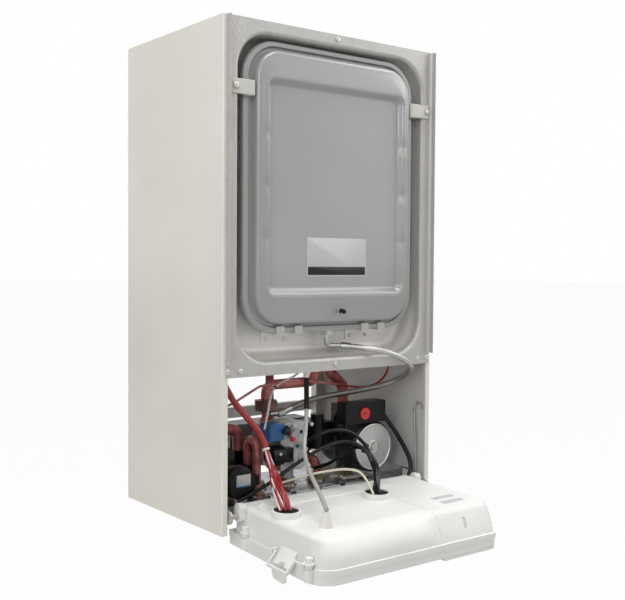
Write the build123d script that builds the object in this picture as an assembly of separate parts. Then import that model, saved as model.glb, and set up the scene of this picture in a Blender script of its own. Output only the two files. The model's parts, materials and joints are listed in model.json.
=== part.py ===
from build123d import *
import math
import os

# A wall-hung combi boiler with its front cover off and its control box folded down.
# X runs to the right of someone facing the boiler, Y runs into the wall, Z runs up.
# The origin is on the wall plane, midway across the bottom edge of the casing.

# casing
HANGER_X = (-110, 110)
HANGER_Z = 724
HANGER_R = 7
FOOT_Z = (-4, 6)
CASE_WIDTH = 440
CASE_HEIGHT = 795
CASE_DEPTH = 315
SHEET = 1.0
LIP = 10
HALF = CASE_WIDTH / 2
FRONT = -CASE_DEPTH

# sealed chamber and its drawn front plate
FLOOR_Z = 243
PLATE_T = 1.2
PLATE_HALF = 214.5
PLATE_FACE = FRONT - PLATE_T
FLANGE_Y = -328
RECESS_HALF = 193
RECESS_Z = (264, 775)
RECESS_R = 58
RECESS_BACK = -264
PLATE_SCREWS = ((-188, 252.5), (188, 252.5), (0, 253), (0, 787))
SCREW_R = 2.1
FLOOR_HOLES = ((62, -180), (104, -165), (-172, -150), (-20, -155))
MOUTH_R = 6
BOTTOM_R = 16
WING_BEND = 6.5

# expansion vessel
RIM_HALF = 178
RIM_Z = (308.5, 769)
RIM_R = 60
RIM_Y = (-307, -300)
PAN_HALF = 160
PAN_Z = (324, 752.6)
PAN_R = 46
PAN_FACE = -322
PAN_T = 1.5
FIELD_HALF = 140
FIELD_Z = (373, 706)
FIELD_DEPTH = 7
VALVE_Z = 343
BRACKET_X = (70.5, 107)
CLIP_Z = (677, 700.5)

# control box, in its own frame: x, forward u, up w from a line at BOX_Y, BOX_Z; it hinges about u 2, w 18
BOX_Y = -312
BOX_Z = 10
PIVOT_U = 2
PIVOT_W = 18
DROOP = 2.75
TOP_W = 33
RIM_W = -13
FACE_W = -36
COVER_HALF = 182
COVER_U = (-18, 201)
SHELL_HALF = 184.5
SHELL_U = (-31, 204)
WALL = 2.5
DRAFT = 3
TOP_R = 8
SEAM_X = 56
COLLARS = ((-155, 79), (31.6, 72.6))
COLLAR_R = 22.5
COLLAR_H = 9.5
INSERT_R = 19.6
BOOT = (-136, 152)
BOOT_H = 22
PIN_R = 4
RUNNING = 0.06
EAR_X = (184, 192)
EAR_R = 9
BOSS_X = 185
BOSS_U = (16, 178)
CATCH_U = (108.5, 146.5)
BAIL_U = (102, 151)
BAIL_ENDS = (94, 172)
BAIL_X = -188.5
BAIL_W = -9
STRAP_X = (-204.5, -200.5)
STRAP_W = (-28, -24)
KNOBS = ((-95, 80), (95, 80))
BUTTONS = ((-22, 60), (22, 60))
BUTTON_R = 6
SCREEN = (0, 105)
GAUGE = (0, 158)

# lower bay
TAIL_X = (-130, -65, 0, 65, 130)
TAIL_Y = -180
TAIL_R = (13.2, 10.5, 10.5, 10.5, 13.2)
TAIL_BOTTOM = -10
TAIL_TOP = 40
LOCK_Z = (19.5, 26.5)
TRAY_Z = 28
RIB_X = (-62, -8, 46, 100, 154)
RIB_Y = (-246, -228)
PUMP = (141, 90)
PUMP_CAP_Y = -255
VENT_R = 7
DIAL = (112, 154)
DIAL_R = 10.5
ACTUATOR = (-146, 61)
SAFETY = (-170, -200)
TAP = (-108, -226)
VENT_XY = (94, -215)
GAS_OUT = (-20, 110)
GAS_Y = -155
FLUE_XY = (0, -150)
FLUE_Z = (761, 815)
FLUE_R = (30, 31.5)
AIR_R = (48.5, 50)
BLADES = 11
FINS = 16
FAN = (0, -150, 650)

parts = {}


def block(x, y, z):
    """A box between three pairs of limits."""
    limits = (x, y, z)
    middle = [(low + high) / 2 for low, high in limits]
    size = [high - low for low, high in limits]
    return Pos(*middle) * Box(*size)


def rod(start, end, radius):
    """A round bar between two points."""
    axis = Vector(*end) - Vector(*start)
    return extrude(Plane(origin=start, z_dir=axis) * Circle(radius), axis.length)


def hexagon(start, end, across):
    """A hexagonal bar between two points, measured across its flats."""
    axis = Vector(*end) - Vector(*start)
    outline = RegularPolygon(across / 2, 6, major_radius=False)
    return extrude(Plane(origin=start, z_dir=axis) * outline, axis.length)


def facing_plane(x, z, y):
    """A plane that looks into the wall, centred between two pairs of limits."""
    return Plane(origin=(sum(x) / 2, y, sum(z) / 2), x_dir=(1, 0, 0), z_dir=(0, 1, 0))


def pad(x, z, y, depth, corner, taper=0):
    """A rounded rectangle that faces the room at y and goes back by depth."""
    outline = RectangleRounded(x[1] - x[0], z[1] - z[0], corner)
    return extrude(facing_plane(x, z, y) * outline, depth, taper=taper)


def across_x(points, x):
    """A (y, z) outline carried from one x to another."""
    outline = make_face(Polyline(*[(x[0], y, z) for y, z in points], close=True))
    return extrude(outline, x[1] - x[0], dir=(1, 0, 0))


def up_z(points, z):
    """An (x, y) outline carried from one height to another."""
    outline = make_face(Polyline(*[(x, y, z[0]) for x, y in points], close=True))
    return extrude(outline, z[1] - z[0], dir=(0, 0, 1))


def mirror_x(shape):
    return mirror(shape, about=Plane.YZ)


def both_sides(shape):
    """The piece and its mirror image on the other side of the middle."""
    return Compound(children=[shape, mirror_x(shape)])


def group(*shapes):
    """Separate solids that share one node."""
    return Compound(children=[solid for shape in shapes for solid in shape.solids()])


def corner_radii(points):
    """The largest bend at each point: 0.45 of the shorter run over the tangent of half the turn."""
    runs = [Vector(*b) - Vector(*a) for a, b in zip(points, points[1:])]
    radii = []
    for before, after in zip(runs, runs[1:]):
        half_turn = math.radians(before.get_angle(after)) / 2
        radii.append(0.45 * min(before.length, after.length) / math.tan(half_turn))
    return radii


def tube(points, radius, name, sides=0):
    """A lead, hose or pipe along straight runs and tangent arcs; sides gives it a faceted section."""
    radii = corner_radii(points)
    path = FilletPolyline(*points, radius=radii)
    section = RegularPolygon(radius, sides) if sides else Circle(radius)
    shape = sweep(Plane(origin=path @ 0, z_dir=path % 0) * section, path=path)
    area = section.area * path.length
    print(f"{name}: length {path.length:.0f}, least bend {min(radii):.0f},",
          f"volume over section times length {shape.volume / area:.3f}")
    return shape


def bent_pipe(points, radius, bend, sides=0):
    """A rigid pipe with one bend radius; sides gives it a faceted section."""
    path = FilletPolyline(*points, radius=bend)
    section = RegularPolygon(radius, sides) if sides else Circle(radius)
    return sweep(Plane(origin=path @ 0, z_dir=path % 0) * section, path=path)


def in_box(shape):
    """Puts a piece drawn in the control box's own frame at its open rest position."""
    return Pos(0, BOX_Y, BOX_Z) * Rot(DROOP, 0, 0) * shape


def box_point(x, u, w):
    """A point of the control box's own frame, in the boiler's frame."""
    turn = math.radians(DROOP)
    y = BOX_Y - u * math.cos(turn) - w * math.sin(turn)
    z = BOX_Z - u * math.sin(turn) + w * math.cos(turn)
    return (x, y, z)


# ---------------------------------------------------------------- casing

def side_panel():
    """The left side: one folded sheet with a rear flange and a front lip."""
    outer = [(-206, 0), (-HALF, 0), (-HALF, FRONT), (-HALF + LIP, FRONT), (-HALF + LIP, FRONT + 6)]
    inner = [(-HALF + LIP - SHEET, FRONT + 6), (-HALF + LIP - SHEET, FRONT + SHEET),
             (-HALF + SHEET, FRONT + SHEET), (-HALF + SHEET, -SHEET), (-206, -SHEET)]
    panel = up_z(outer + inner, (0, CASE_HEIGHT))
    corners = panel.edges().filter_by(Axis.Z)
    outside = corners.filter_by(lambda e: abs(e.center().X + HALF) < 0.01)
    panel = fillet(outside, 2.5)
    corners = panel.edges().filter_by(Axis.Z)
    inside = corners.filter_by(lambda e: abs(e.center().X + HALF - SHEET) < 0.01)
    return fillet(inside, 1.5)


def casing():
    left = side_panel()
    parts["side_panel_left"] = left
    parts["side_panel_right"] = mirror_x(left)
    inside = HALF - SHEET
    between = HALF - LIP - SHEET - 0.5
    deck = block((-between, between), (FRONT + 1.5, -3), (CASE_HEIGHT - SHEET, CASE_HEIGHT))
    deck += block((-inside, inside), (FRONT + 7, -3), (CASE_HEIGHT - SHEET, CASE_HEIGHT))
    front_fold = block((-between, between), (FRONT + 1.5, FRONT + 2.5), (CASE_HEIGHT - 14, CASE_HEIGHT - SHEET))
    x, z = PLATE_SCREWS[-1]
    front_fold -= rod((x, FRONT, z), (x, FRONT + 4, z), SCREW_R)
    rear_fold = block((-inside, inside), (-4, -3), (CASE_HEIGHT - 14, CASE_HEIGHT - SHEET))
    hole = Pos(*FLUE_XY, CASE_HEIGHT) * Cylinder(50.5, 10)
    parts["top_panel"] = deck + front_fold + rear_fold - hole
    # two angle uprights, a hanger rail with keyhole slots, a cross rail and a narrow foot rail, welded together
    upright = block((-205, -193), (-2, 0), (0, 794)) + block((-194.5, -193), (-16, -2), (4, 240))
    hanger = block((-193, 193), (-2, 0), (700, 760))
    for x in HANGER_X:
        hanger -= rod((x, -3, HANGER_Z), (x, 1, HANGER_Z), HANGER_R)
        hanger -= block((x - 3.5, x + 3.5), (-3, 1), (HANGER_Z, HANGER_Z + 18))
    cross = block((-193, 193), (-2, 0), (122, 144)) + block((-193, 193), (-12, -2), (142.5, 144))
    foot = block((-193, 193), (-2, 0), FOOT_Z)
    parts["rear_frame"] = hanger + cross + foot + upright + mirror_x(upright)


def recess(grow):
    """The space inside the drawn recess, with its walls moved out by grow."""
    x = (-RECESS_HALF - grow, RECESS_HALF + grow)
    z = (RECESS_Z[0] - grow, RECESS_Z[1] + grow)
    depth = RECESS_BACK - PLATE_FACE + grow
    return pad(x, z, PLATE_FACE, depth, RECESS_R + grow, taper=4)


def chamber_front_plate():
    """A plate with a deep drawn recess: the space behind its front skin less the space behind its back skin."""
    z = (FLOOR_Z, CASE_HEIGHT)
    back = RECESS_BACK + 10
    room = recess(0)
    room = fillet(room.edges().group_by(Axis.Y)[-1], BOTTOM_R)
    front_skin = block((-PLATE_HALF, PLATE_HALF), (PLATE_FACE, back), z) - room
    mouth = front_skin.faces().sort_by(Axis.Y)[0].inner_wires()[0].edges()
    front_skin = fillet(mouth, MOUTH_R)
    behind = recess(PLATE_T)
    behind = chamfer(behind.edges().group_by(Axis.Y)[-1], 6)
    back_skin = block((-PLATE_HALF - 1, PLATE_HALF + 1), (FRONT, back + 1), (z[0] - 1, z[1] + 1)) - behind
    mouth = back_skin.faces().sort_by(Axis.Y)[0].inner_wires()[0].edges()
    back_skin = chamfer(mouth, 2.8)
    plate = front_skin - back_skin
    wing_z = (FLOOR_Z + 19, CASE_HEIGHT - 1)
    wing = block((PLATE_HALF - PLATE_T, PLATE_HALF), (FLANGE_Y, PLATE_FACE), wing_z)
    bend_x = PLATE_HALF - PLATE_T - WING_BEND
    wing += block((bend_x, PLATE_HALF - PLATE_T), (PLATE_FACE - WING_BEND, PLATE_FACE), wing_z)
    hollow = (bend_x, PLATE_FACE - WING_BEND)
    wing -= rod((*hollow, wing_z[0] - 1), (*hollow, wing_z[1] + 1), WING_BEND)
    hem = block((-208, 208), (FRONT, FRONT + 14), (FLOOR_Z, FLOOR_Z + PLATE_T))
    plate = plate + wing + mirror_x(wing) + hem
    for x, z in PLATE_SCREWS:
        plate -= rod((x, PLATE_FACE - 1, z), (x, FRONT + 1, z), SCREW_R)
    return plate


def screw(x, y, z, long=7):
    """A pan-head screw with its head towards the room."""
    profile = Polyline((0, 0), (4.2, 0), (4.2, -1.6), (2.6, -2.8), (0, -2.8), close=True)
    head = revolve(make_face(profile), Axis.Y)
    return Pos(x, y, z) * (head + rod((0, 0, 0), (0, long, 0), SCREW_R))


def chamber_case():
    """The five welded sheets behind the plate, open to the front, with holes for the flue and the pipes."""
    wide, deep, high = (-208, 208), (FRONT + 2.6, -3), (FLOOR_Z + 2, CASE_HEIGHT - 15)
    roof = block(wide, deep, (high[1] - SHEET, high[1])) - Pos(*FLUE_XY, high[1]) * Cylinder(50.5, 8)
    base = block(wide, deep, (high[0], high[0] + SHEET))
    for x, y in FLOOR_HOLES:
        base -= Pos(x, y, high[0]) * Cylinder(11.5, 10)
    between = (high[0] + SHEET, high[1] - SHEET)
    back = block(wide, (deep[1] - SHEET, deep[1]), between)
    wall = block((wide[0], wide[0] + SHEET), (deep[0], deep[1] - SHEET), between)
    return group(roof, base, back, wall, mirror_x(wall))


def chamber():
    parts["chamber_front_plate"] = chamber_front_plate()
    parts["chamber_case"] = chamber_case()
    # flue outlet: inner spigot for the fumes, outer spigot for the air
    x, y = FLUE_XY
    low, high = FLUE_Z
    outer = rod((x, y, low + 18), (x, y, high), AIR_R[1]) - rod((x, y, low), (x, y, high + 1), AIR_R[0])
    inner = rod((x, y, low), (x, y, high), FLUE_R[1]) - rod((x, y, low - 1), (x, y, high + 1), FLUE_R[0])
    collar = Pos(x, y, 796) * (Cylinder(62, 2) - Cylinder(49.9, 3))
    spokes = [block((x - 48.6, x - 31.4), (y - 2, y + 2), (786, 812))]
    spokes += [block((x + 31.4, x + 48.6), (y - 2, y + 2), (786, 812))]
    flue = outer + inner + collar
    for spoke in spokes:
        flue += spoke
    parts["flue_collar"] = flue


# ---------------------------------------------------------------- expansion vessel

def vessel():
    # front pan: a raised tray with a sunk middle, and a flat flange round it
    raised = pad((-PAN_HALF, PAN_HALF), PAN_Z, PAN_FACE, 19, PAN_R, taper=-6)
    raised = fillet(raised.edges().group_by(Axis.Y)[0], 9)
    sunk = pad((-FIELD_HALF, FIELD_HALF), FIELD_Z, PAN_FACE, FIELD_DEPTH, 14, taper=40)
    flange = pad((-168, 168), (317, 760.5), -303, 3, 52)
    inner = PAN_HALF - PAN_T
    hollow = pad((-inner, inner), (PAN_Z[0] + PAN_T, PAN_Z[1] - PAN_T), PAN_FACE + PAN_T, 19, PAN_R - PAN_T, taper=-6)
    hollow = fillet(hollow.edges().group_by(Axis.Y)[0], 7.5)
    behind = FIELD_HALF + PAN_T
    step = pad((-behind, behind), (FIELD_Z[0] - PAN_T, FIELD_Z[1] + PAN_T), PAN_FACE, FIELD_DEPTH + PAN_T, 15, taper=40)
    parts["vessel_front_pan"] = raised + flange - sunk - (hollow - step)
    # rear pan: a plain tray whose rim is rolled over the front flange
    body = pad((-167, 167), (318, 759.5), -300, 34, 50, taper=5)
    body = chamfer(body.edges().group_by(Axis.Y)[-1], 9)
    rim = pad((-RIM_HALF, RIM_HALF), RIM_Z, RIM_Y[0], RIM_Y[1] - RIM_Y[0] + 2, RIM_R)
    rim = chamfer(rim.edges().group_by(Axis.Y)[0], 2.2)
    rim -= pad((-168, 168), (317, 760.5), -308, 8, 52)
    space = pad((-165.5, 165.5), (319.5, 758), -301, 33.5, 48, taper=5)
    parts["vessel_rear_pan"] = rim + body - space
    parts["vessel_diaphragm"] = pad((-157.5, 157.5), (326.5, 751), -299, 2, 41)
    # charging valve, tipped forward and down, with its cap
    tip = math.radians(20)
    down = Vector(0, -math.cos(tip), -math.sin(tip))
    foot = Vector(0, PAN_FACE + 0.6, VALVE_Z)
    nut = hexagon(tuple(foot), tuple(foot + down * 6), 11)
    nut -= block((-10, 10), (PAN_FACE, PAN_FACE + 10), (VALVE_Z - 12, VALVE_Z + 12))
    cap = rod(tuple(foot + down * 6), tuple(foot + down * 17), 4.4)
    cap = chamfer(cap.edges().sort_by(Axis.Y)[0], 1.0)
    parts["vessel_valve"] = group(nut, cap)
    parts["vessel_brackets"] = both_sides(vessel_bracket())
    parts["vessel_clips"] = both_sides(vessel_clip())


def vessel_bracket():
    """A strip screwed to the recess, with two tabs that hook under and in front of the rim."""
    strip = block((62, 116), (RECESS_BACK - 2, RECESS_BACK), (289, 306.5))
    low = RIM_Z[0]
    bracket = strip
    for x in BRACKET_X:
        tab = [(RECESS_BACK, 304), (RECESS_BACK, low), (RIM_Y[0], low), (RIM_Y[0], 319),
               (RIM_Y[0] - 2, 319), (RIM_Y[0] - 2, low - 2), (RECESS_BACK - 2, low - 2), (RECESS_BACK - 2, 304)]
        bracket += across_x(tab, (x - 8, x + 8))
    return bracket


def vessel_clip():
    """A stepped plastic clip from the plate over the rim of the vessel."""
    face = PLATE_FACE
    outline = [(207.5, face), (189, face), (181, face + 7.4), (166, face + 8.4), (163.5, face + 6),
               (163.5, face - 2), (168, face - 4.2), (185, face - 4.4), (192, face - 3.6), (207.5, face - 3.6)]
    return up_z(outline, CLIP_Z)


# ---------------------------------------------------------------- hose and leads

HOSE = ((53, -290, 278.5), (84.7, -332.2, 274.9), (133.4, -335.1, 258.3), (166.2, -326.4, 241.5),
        (190.7, -288, 221.6), (178, -251.7, 201.4), (126.5, -227.6, 190.2), (69.5, -218, 185.1),
        (31, -204, 179), (4, -190, 165))
HOSE_R = 5
FERRULE_LONG = 16

RED_LOOM = ((-201, -283, 242), (-187, -282, 211), (-160, -285, 179), (-129, -290, 145),
            (-125, -303, 108), (-137, -337, 84), (-151, -372, 72))
LOOM_R = 5.5
DRAIN_R = 3.5
END_GAP = 0.5

LEAD_A = ((-6, -241, 104), (-27, -271, 118), (-6, -303, 142), (44, -303, 137), (70, -315, 111),
          (66, -339, 88), (44, -374, 72))
LEAD_B = ((-158, -265, 36), (-116, -271, 51), (-71, -287, 83), (-23, -303, 112), (34, -302, 122),
          (62, -323, 107), (62, -341, 83), (40, -376, 70))
LEAD_C = ((30, -218, 58), (36, -262, 72), (55, -283, 101), (66, -315, 108), (70, -343, 85), (50, -372, 68))
PUMP_LEAD = ((167, -251, 145), (175, -267, 124), (199, -270, 90), (207, -283, 59), (200, -287, 38),
             (184, -287, 22), (162, -289, 16))
THIN_LEAD = ((-98, -262, 50), (-52, -290, 67), (-5, -310, 75), (22, -330, 78), (37, -352, 71))
DRAIN_TUBE = ((-49, -301, 242), (-47, -300, 203), (-51, -305, 160), (-79, -334, 119), (-102, -382, 95),
              (-121, -432, 76))


def ends_above(route, end, radius):
    """The route with its last point raised until the slanted end clears the face that it meets."""
    normal = Vector(0, -math.sin(math.radians(DROOP)), math.cos(math.radians(DROOP)))
    run = (Vector(*end) - Vector(*route[-1])).normalized()
    slant = math.sqrt(1 - run.dot(normal) ** 2)
    return route + (tuple(Vector(*end) + normal * (radius * slant + END_GAP)),)


def leads():
    face = TOP_W + COLLAR_H - 2
    (left_x, left_u), (x, u) = COLLARS
    parts["braided_hose"] = tube(HOSE, HOSE_R, "braided hose", 8)
    loom = ends_above(RED_LOOM, box_point(left_x, left_u, face), LOOM_R)
    parts["red_loom"] = tube(loom, LOOM_R, "red loom", 8)
    black = []
    for name, route, dx, du, radius in (("lead a", LEAD_A, -7, -4, 3), ("lead b", LEAD_B, 1, 8, 3),
                                        ("lead c", LEAD_C, 9, -3, 3), ("thin lead", THIN_LEAD, -12, 6, 2)):
        black.append(tube(ends_above(route, box_point(x + dx, u + du, face), radius), radius, name, 6))
    pump_end = box_point(150, COVER_U[0] - 3.8, 6)
    black.append(tube(PUMP_LEAD + (pump_end,), 4, "pump lead", 6))
    parts["wiring_leads"] = group(*black)
    boot_top = box_point(*BOOT, TOP_W + BOOT_H)
    parts["drain_tube"] = tube(ends_above(DRAIN_TUBE, boot_top, DRAIN_R), DRAIN_R, "drain tube", 8)


def hose_ends():
    """The vessel's connector with its elbow, two crimped ferrules and the fitting on the valve group."""
    nut = hexagon((5, -285, 300), (5, -285, 318), 18)
    nut -= pad((-167, 167), (318, 759.5), -300, 34, 50, taper=5)
    start = Vector(*HOSE[0])
    along = (Vector(*HOSE[1]) - start).normalized()
    sleeve = tuple(start - along * FERRULE_LONG)
    elbow = bent_pipe(((5, -285, 300), (5, -285, sleeve[2] + 2), sleeve), 4, 9)
    connector = nut + elbow
    ferrule_a = rod(sleeve, HOSE[0], 6.2)
    last = Vector(*HOSE[-1])
    along = (last - Vector(*HOSE[-2])).normalized()
    ferrule_b = rod(tuple(last), tuple(last + along * FERRULE_LONG), 6.2)
    parts["hose_fittings"] = group(connector, ferrule_a, ferrule_b, branch_nipple())


# ---------------------------------------------------------------- lower bay

def tray():
    """The pipe tray: a ribbed sheet between the side panels with a raised ring round each tail."""
    side = HALF - SHEET
    sheet = block((-side, side), (-262, -78), (TRAY_Z - 1.5, TRAY_Z))
    sheet += block((-side, side), (-262, -260.5), (TRAY_Z - 14, TRAY_Z))
    wing = block((side - 1.5, side), (-262, -78), (TRAY_Z, TRAY_Z + 16))
    sheet += wing + mirror_x(wing)
    for x, radius in zip(TAIL_X, TAIL_R):
        sheet += Pos(x, TAIL_Y, TRAY_Z + 1) * Cylinder(radius + 8, 2)
        sheet -= Pos(x, TAIL_Y, TRAY_Z) * Cylinder(radius + 0.3, 10)
    for x in RIB_X:
        for y in RIB_Y:
            rib = block((x - 22, x + 22), (y - 5, y + 5), (TRAY_Z, TRAY_Z + 2.6))
            sheet += chamfer(rib.faces().sort_by(Axis.Z)[-1].edges(), 2.2)
    return sheet - rod((*TAP, 20), (*TAP, 40), 10)


def tails():
    """Five threaded tails, each clamped to the tray by a collar on top and a lock nut below."""
    shapes = []
    for x, radius in zip(TAIL_X, TAIL_R):
        stub = rod((x, TAIL_Y, TAIL_BOTTOM), (x, TAIL_Y, TAIL_TOP), radius)
        collar = hexagon((x, TAIL_Y, TRAY_Z + 2), (x, TAIL_Y, TAIL_TOP), 2 * radius + 8)
        lock = hexagon((x, TAIL_Y, LOCK_Z[0]), (x, TAIL_Y, LOCK_Z[1]), 2 * radius + 9)
        shapes.append(stub + collar + lock)
    return group(*shapes)


def plate_exchanger():
    """A brazed stack of thin plates between two end plates."""
    x, z = (-88, 96), (66, 134)
    front = -131
    stack = pad((x[0] + 2, x[1] - 2), (z[0] + 2, z[1] - 2), front, 44, 12)
    stack += pad(x, z, front, 2.5, 14) + pad(x, z, front + 41.5, 2.5, 14)
    for n in range(8):
        stack += pad(x, z, front + 5 + 4.4 * n, 1.8, 14)
    return stack


def pump():
    """A wet-rotor pump: volute at the back, motor and silver cap towards the room, electronics on top."""
    x, z = PUMP
    cap_back = PUMP_CAP_Y + 3
    flange_y = -200
    motor = rod((x, cap_back, z), (x, flange_y, z), 46)
    rim = motor.edges().filter_by(GeomType.CIRCLE).sort_by(Axis.Y)[0]
    motor = chamfer(rim, 3)
    cap = rod((x, PUMP_CAP_Y, z), (x, cap_back, z), 42.5)
    cap -= rod((x, PUMP_CAP_Y - 1, z), (x, cap_back + 1, z), VENT_R + RUNNING)
    vent = rod((x, PUMP_CAP_Y - 2, z), (x, cap_back, z), VENT_R)
    vent -= block((x - 7, x + 7), (PUMP_CAP_Y - 3, PUMP_CAP_Y - 1), (z - 0.8, z + 0.8))
    volute = rod((x, flange_y, z), (x, -188, z), 48) + rod((x, -188, z), (x, -150, z), 42)
    volute += block((120, 148), (-188, -156), (z + 36, z + 70))
    volute += rod((TAIL_X[4], TAIL_Y, TAIL_TOP), (TAIL_X[4], TAIL_Y, z - 30), 14)
    volute -= rod((x, -191, z), (x, -166, z), 34)
    volute -= rod((x, flange_y - 1, z), (x, -190, z), 6 + RUNNING)
    wheel = rod((x, -187, z), (x, -184, z), 31) + rod((x, flange_y + 0.4, z), (x, -170, z), 6)
    for n in range(6):
        vane = Box(24, 10, 2, align=(Align.MIN, Align.MAX, Align.CENTER))
        wheel += Pos(x, -174, z) * Rot(0, 60 * n, 0) * Pos(5, 0, 0) * vane
    box = block((69, 162), (-262, -236), (136.4, 175))
    box = fillet(box.edges().filter_by(Axis.Y), 3)
    seat = (DIAL[0], -255, DIAL[1])
    box -= rod((DIAL[0], -263, DIAL[1]), seat, DIAL_R + 0.4)
    knob = rod((DIAL[0], -264.5, DIAL[1]), (DIAL[0], -255.3, DIAL[1]), DIAL_R)
    knob -= block((DIAL[0] - 7, DIAL[0] + 7), (-266, -263.3), (DIAL[1] - 1, DIAL[1] + 1))
    parts["pump_motor"] = motor
    parts["pump_cap"] = cap
    parts["pump_vent_screw"] = vent
    parts["pump_volute"] = volute
    parts["pump_impeller"] = wheel
    parts["pump_electronics"] = box
    parts["pump_dial"] = knob


def water_groups():
    """The moulded flow and return groups, and what is screwed into them."""
    x, z = ACTUATOR
    back = -228
    flow = rod((x, back, z), (x, -150, z), 18)
    flow += block((x, -76), (-205, -150), (48, 76)) + block((-104, -60), (-171, -140), (66, 96))
    flow += rod((TAIL_X[0], TAIL_Y, TAIL_TOP), (TAIL_X[0], TAIL_Y, z), 14)
    flow += block((-182, x), (-212, -188), (52, 74)) + rod((*SAFETY, 74), (*SAFETY, 99), 12)
    flow += rod((*SAFETY, 99), (*SAFETY, 106), 8)
    flow += block((-118, -98), (-238, -205), (50, 66)) + rod((*TAP, 12), (*TAP, 50), 6)
    body = rod((x, -262, z), (x, back, z), 26)
    rim = body.edges().filter_by(GeomType.CIRCLE).sort_by(Axis.Y)[0]
    body = chamfer(rim, 2.5)
    parts["flow_group"] = flow
    parts["diverter_actuator"] = body
    knob = rod((*SAFETY, 99.4), (*SAFETY, 113), 14)
    knob -= rod((*SAFETY, 99), (*SAFETY, 106.5), 8 + RUNNING)
    for n in range(6):
        knob -= Pos(*SAFETY, 0) * Rot(0, 0, 60 * n) * rod((16.5, 0, 99), (16.5, 0, 114), 4)
    parts["safety_valve_knob"] = knob
    tap = rod((*TAP, -12), (*TAP, 19), 9) + rod((*TAP, -12), (*TAP, 6), 14)
    tap -= rod((*TAP, 11.5), (*TAP, 20), 6 + RUNNING)
    for n in range(6):
        tap -= Pos(*TAP, 0) * Rot(0, 0, 60 * n) * rod((16.5, 0, -13), (16.5, 0, 7), 4)
    parts["filling_tap_knob"] = tap
    group_z = (88, 134)
    back_group = block((44, 92), (-200, -150), group_z) + block((84, 98), (-226, -200), (112, 123))
    back_group += rod((VENT_XY[0] - 3, VENT_XY[1], 112), (VENT_XY[0] - 3, VENT_XY[1], 123), 9)
    back_group += rod((56, -196, 88), (56, -196, 150), 12) + block((44, 68), (-150, -131), (100, 124))
    parts["return_group"] = back_group
    vent_x, vent_y = VENT_XY[0] - 3, VENT_XY[1]
    vent = rod((vent_x, vent_y, 123), (vent_x, vent_y, 147), 11) + rod((vent_x, vent_y, 147), (vent_x, vent_y, 155), 7)
    parts["air_vent"] = vent


def gas_valve():
    """The cast valve body with its blue solenoid and black modulating coil."""
    front = -238
    body = block((-54, 0), (front, -190), (68, 148)) + block((-80, -54), (-222, -190), (77, 146))
    body = chamfer(body.edges().filter_by(Axis.Y).group_by(Axis.X)[-1], 6)
    body += block((-34, 14), (-206, -166), (58, 68)) + rod((0, TAIL_Y, TAIL_TOP), (0, TAIL_Y, 58), 12)
    body += rod((-24, front - 4, 128), (-24, front, 128), 9) + rod((-12, front - 3, 84), (-12, front, 84), 5)
    parts["gas_valve"] = body
    coil = block((-88, -57), (-254, -222), (123, 151))
    coil = fillet(coil.edges().filter_by(Axis.Z), 4)
    coil += rod((-57, -246.5, 138), (-48, -246.5, 138), 8) + rod((-48, -246.5, 138), (-43, -246.5, 138), 5)
    modulator = rod((-79, -239.5, 96), (-55, -239.5, 96), 17)
    modulator += block((-66, -38), (-253, front), (84, 108)) - rod((-46, -254, 96), (-46, -250, 96), 5)
    parts["gas_coils"] = group(coil, modulator)


def pipes():
    """Rigid copper pipes with their union nuts."""
    nut_z = (163, 181)
    runs = [
        # from a tail up through the union, across and into the chamber
        (((-65, TAIL_Y, TAIL_TOP), (-65, TAIL_Y, 126), (-45, TAIL_Y, 150), (-45, TAIL_Y, nut_z[0])), 7.5, 12),
        (((-45, TAIL_Y, nut_z[1]), (-45, TAIL_Y, 207), (62, TAIL_Y, 207), (62, TAIL_Y, 262)), 9, 15),
        # chamber to the top of the pump
        (((104, -165, 262), (104, -165, 222), (134, -172, 194), (134, -172, 160)), 11, 20),
        # chamber to the flow group
        (((-172, -150, 262), (-172, -150, 136), (-90, -160, 132), (-90, -160, 96)), 10, 18),
        # cold inlet behind the gas valve to the flow group
        (((65, TAIL_Y, TAIL_TOP), (65, TAIL_Y, 62), (30, -160, 82), (-60, -160, 82)), 9, 16),
        # hot water: a tall bend in front of the flow group
        (((-87.5, -214, TRAY_Z + 0.4), (-87.5, -214, 118), (-87.5, -186, 118), (-87.5, -186, 76)), 7.5, 13.5),
        # thin capillary across the bay
        (((-196, -232, 176), (-150, -236, 190), (-104, -246, 216), (-30, -246, 222), (60, -226, 208),
          (100, -203, 200)), 2.2, 16, 6),
    ]
    parts["water_pipes"] = group(*[bent_pipe(*run) for run in runs])
    x, z = GAS_OUT
    gas = ((x, -190, z), (x, GAS_Y, z), (x, GAS_Y, 268), (x, -228, 268), (x, -228, 297))
    parts["gas_pipe"] = bent_pipe(gas, 7.5, 15)
    nuts = [hexagon((-45, TAIL_Y, nut_z[0]), (-45, TAIL_Y, nut_z[1]), 38)]
    parts["union_nuts"] = group(*nuts)


def branch_nipple():
    """The branch on the copper riser that the braided hose is screwed to."""
    end = Vector(*HOSE[-1]) + (Vector(*HOSE[-1]) - Vector(*HOSE[-2])).normalized() * FERRULE_LONG
    turn = (-21, -181.5, 156.5)
    return hexagon(tuple(end), turn, 14) + rod(turn, (-37.3, TAIL_Y, 156), 5)


# ---------------------------------------------------------------- inside the chamber

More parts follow.
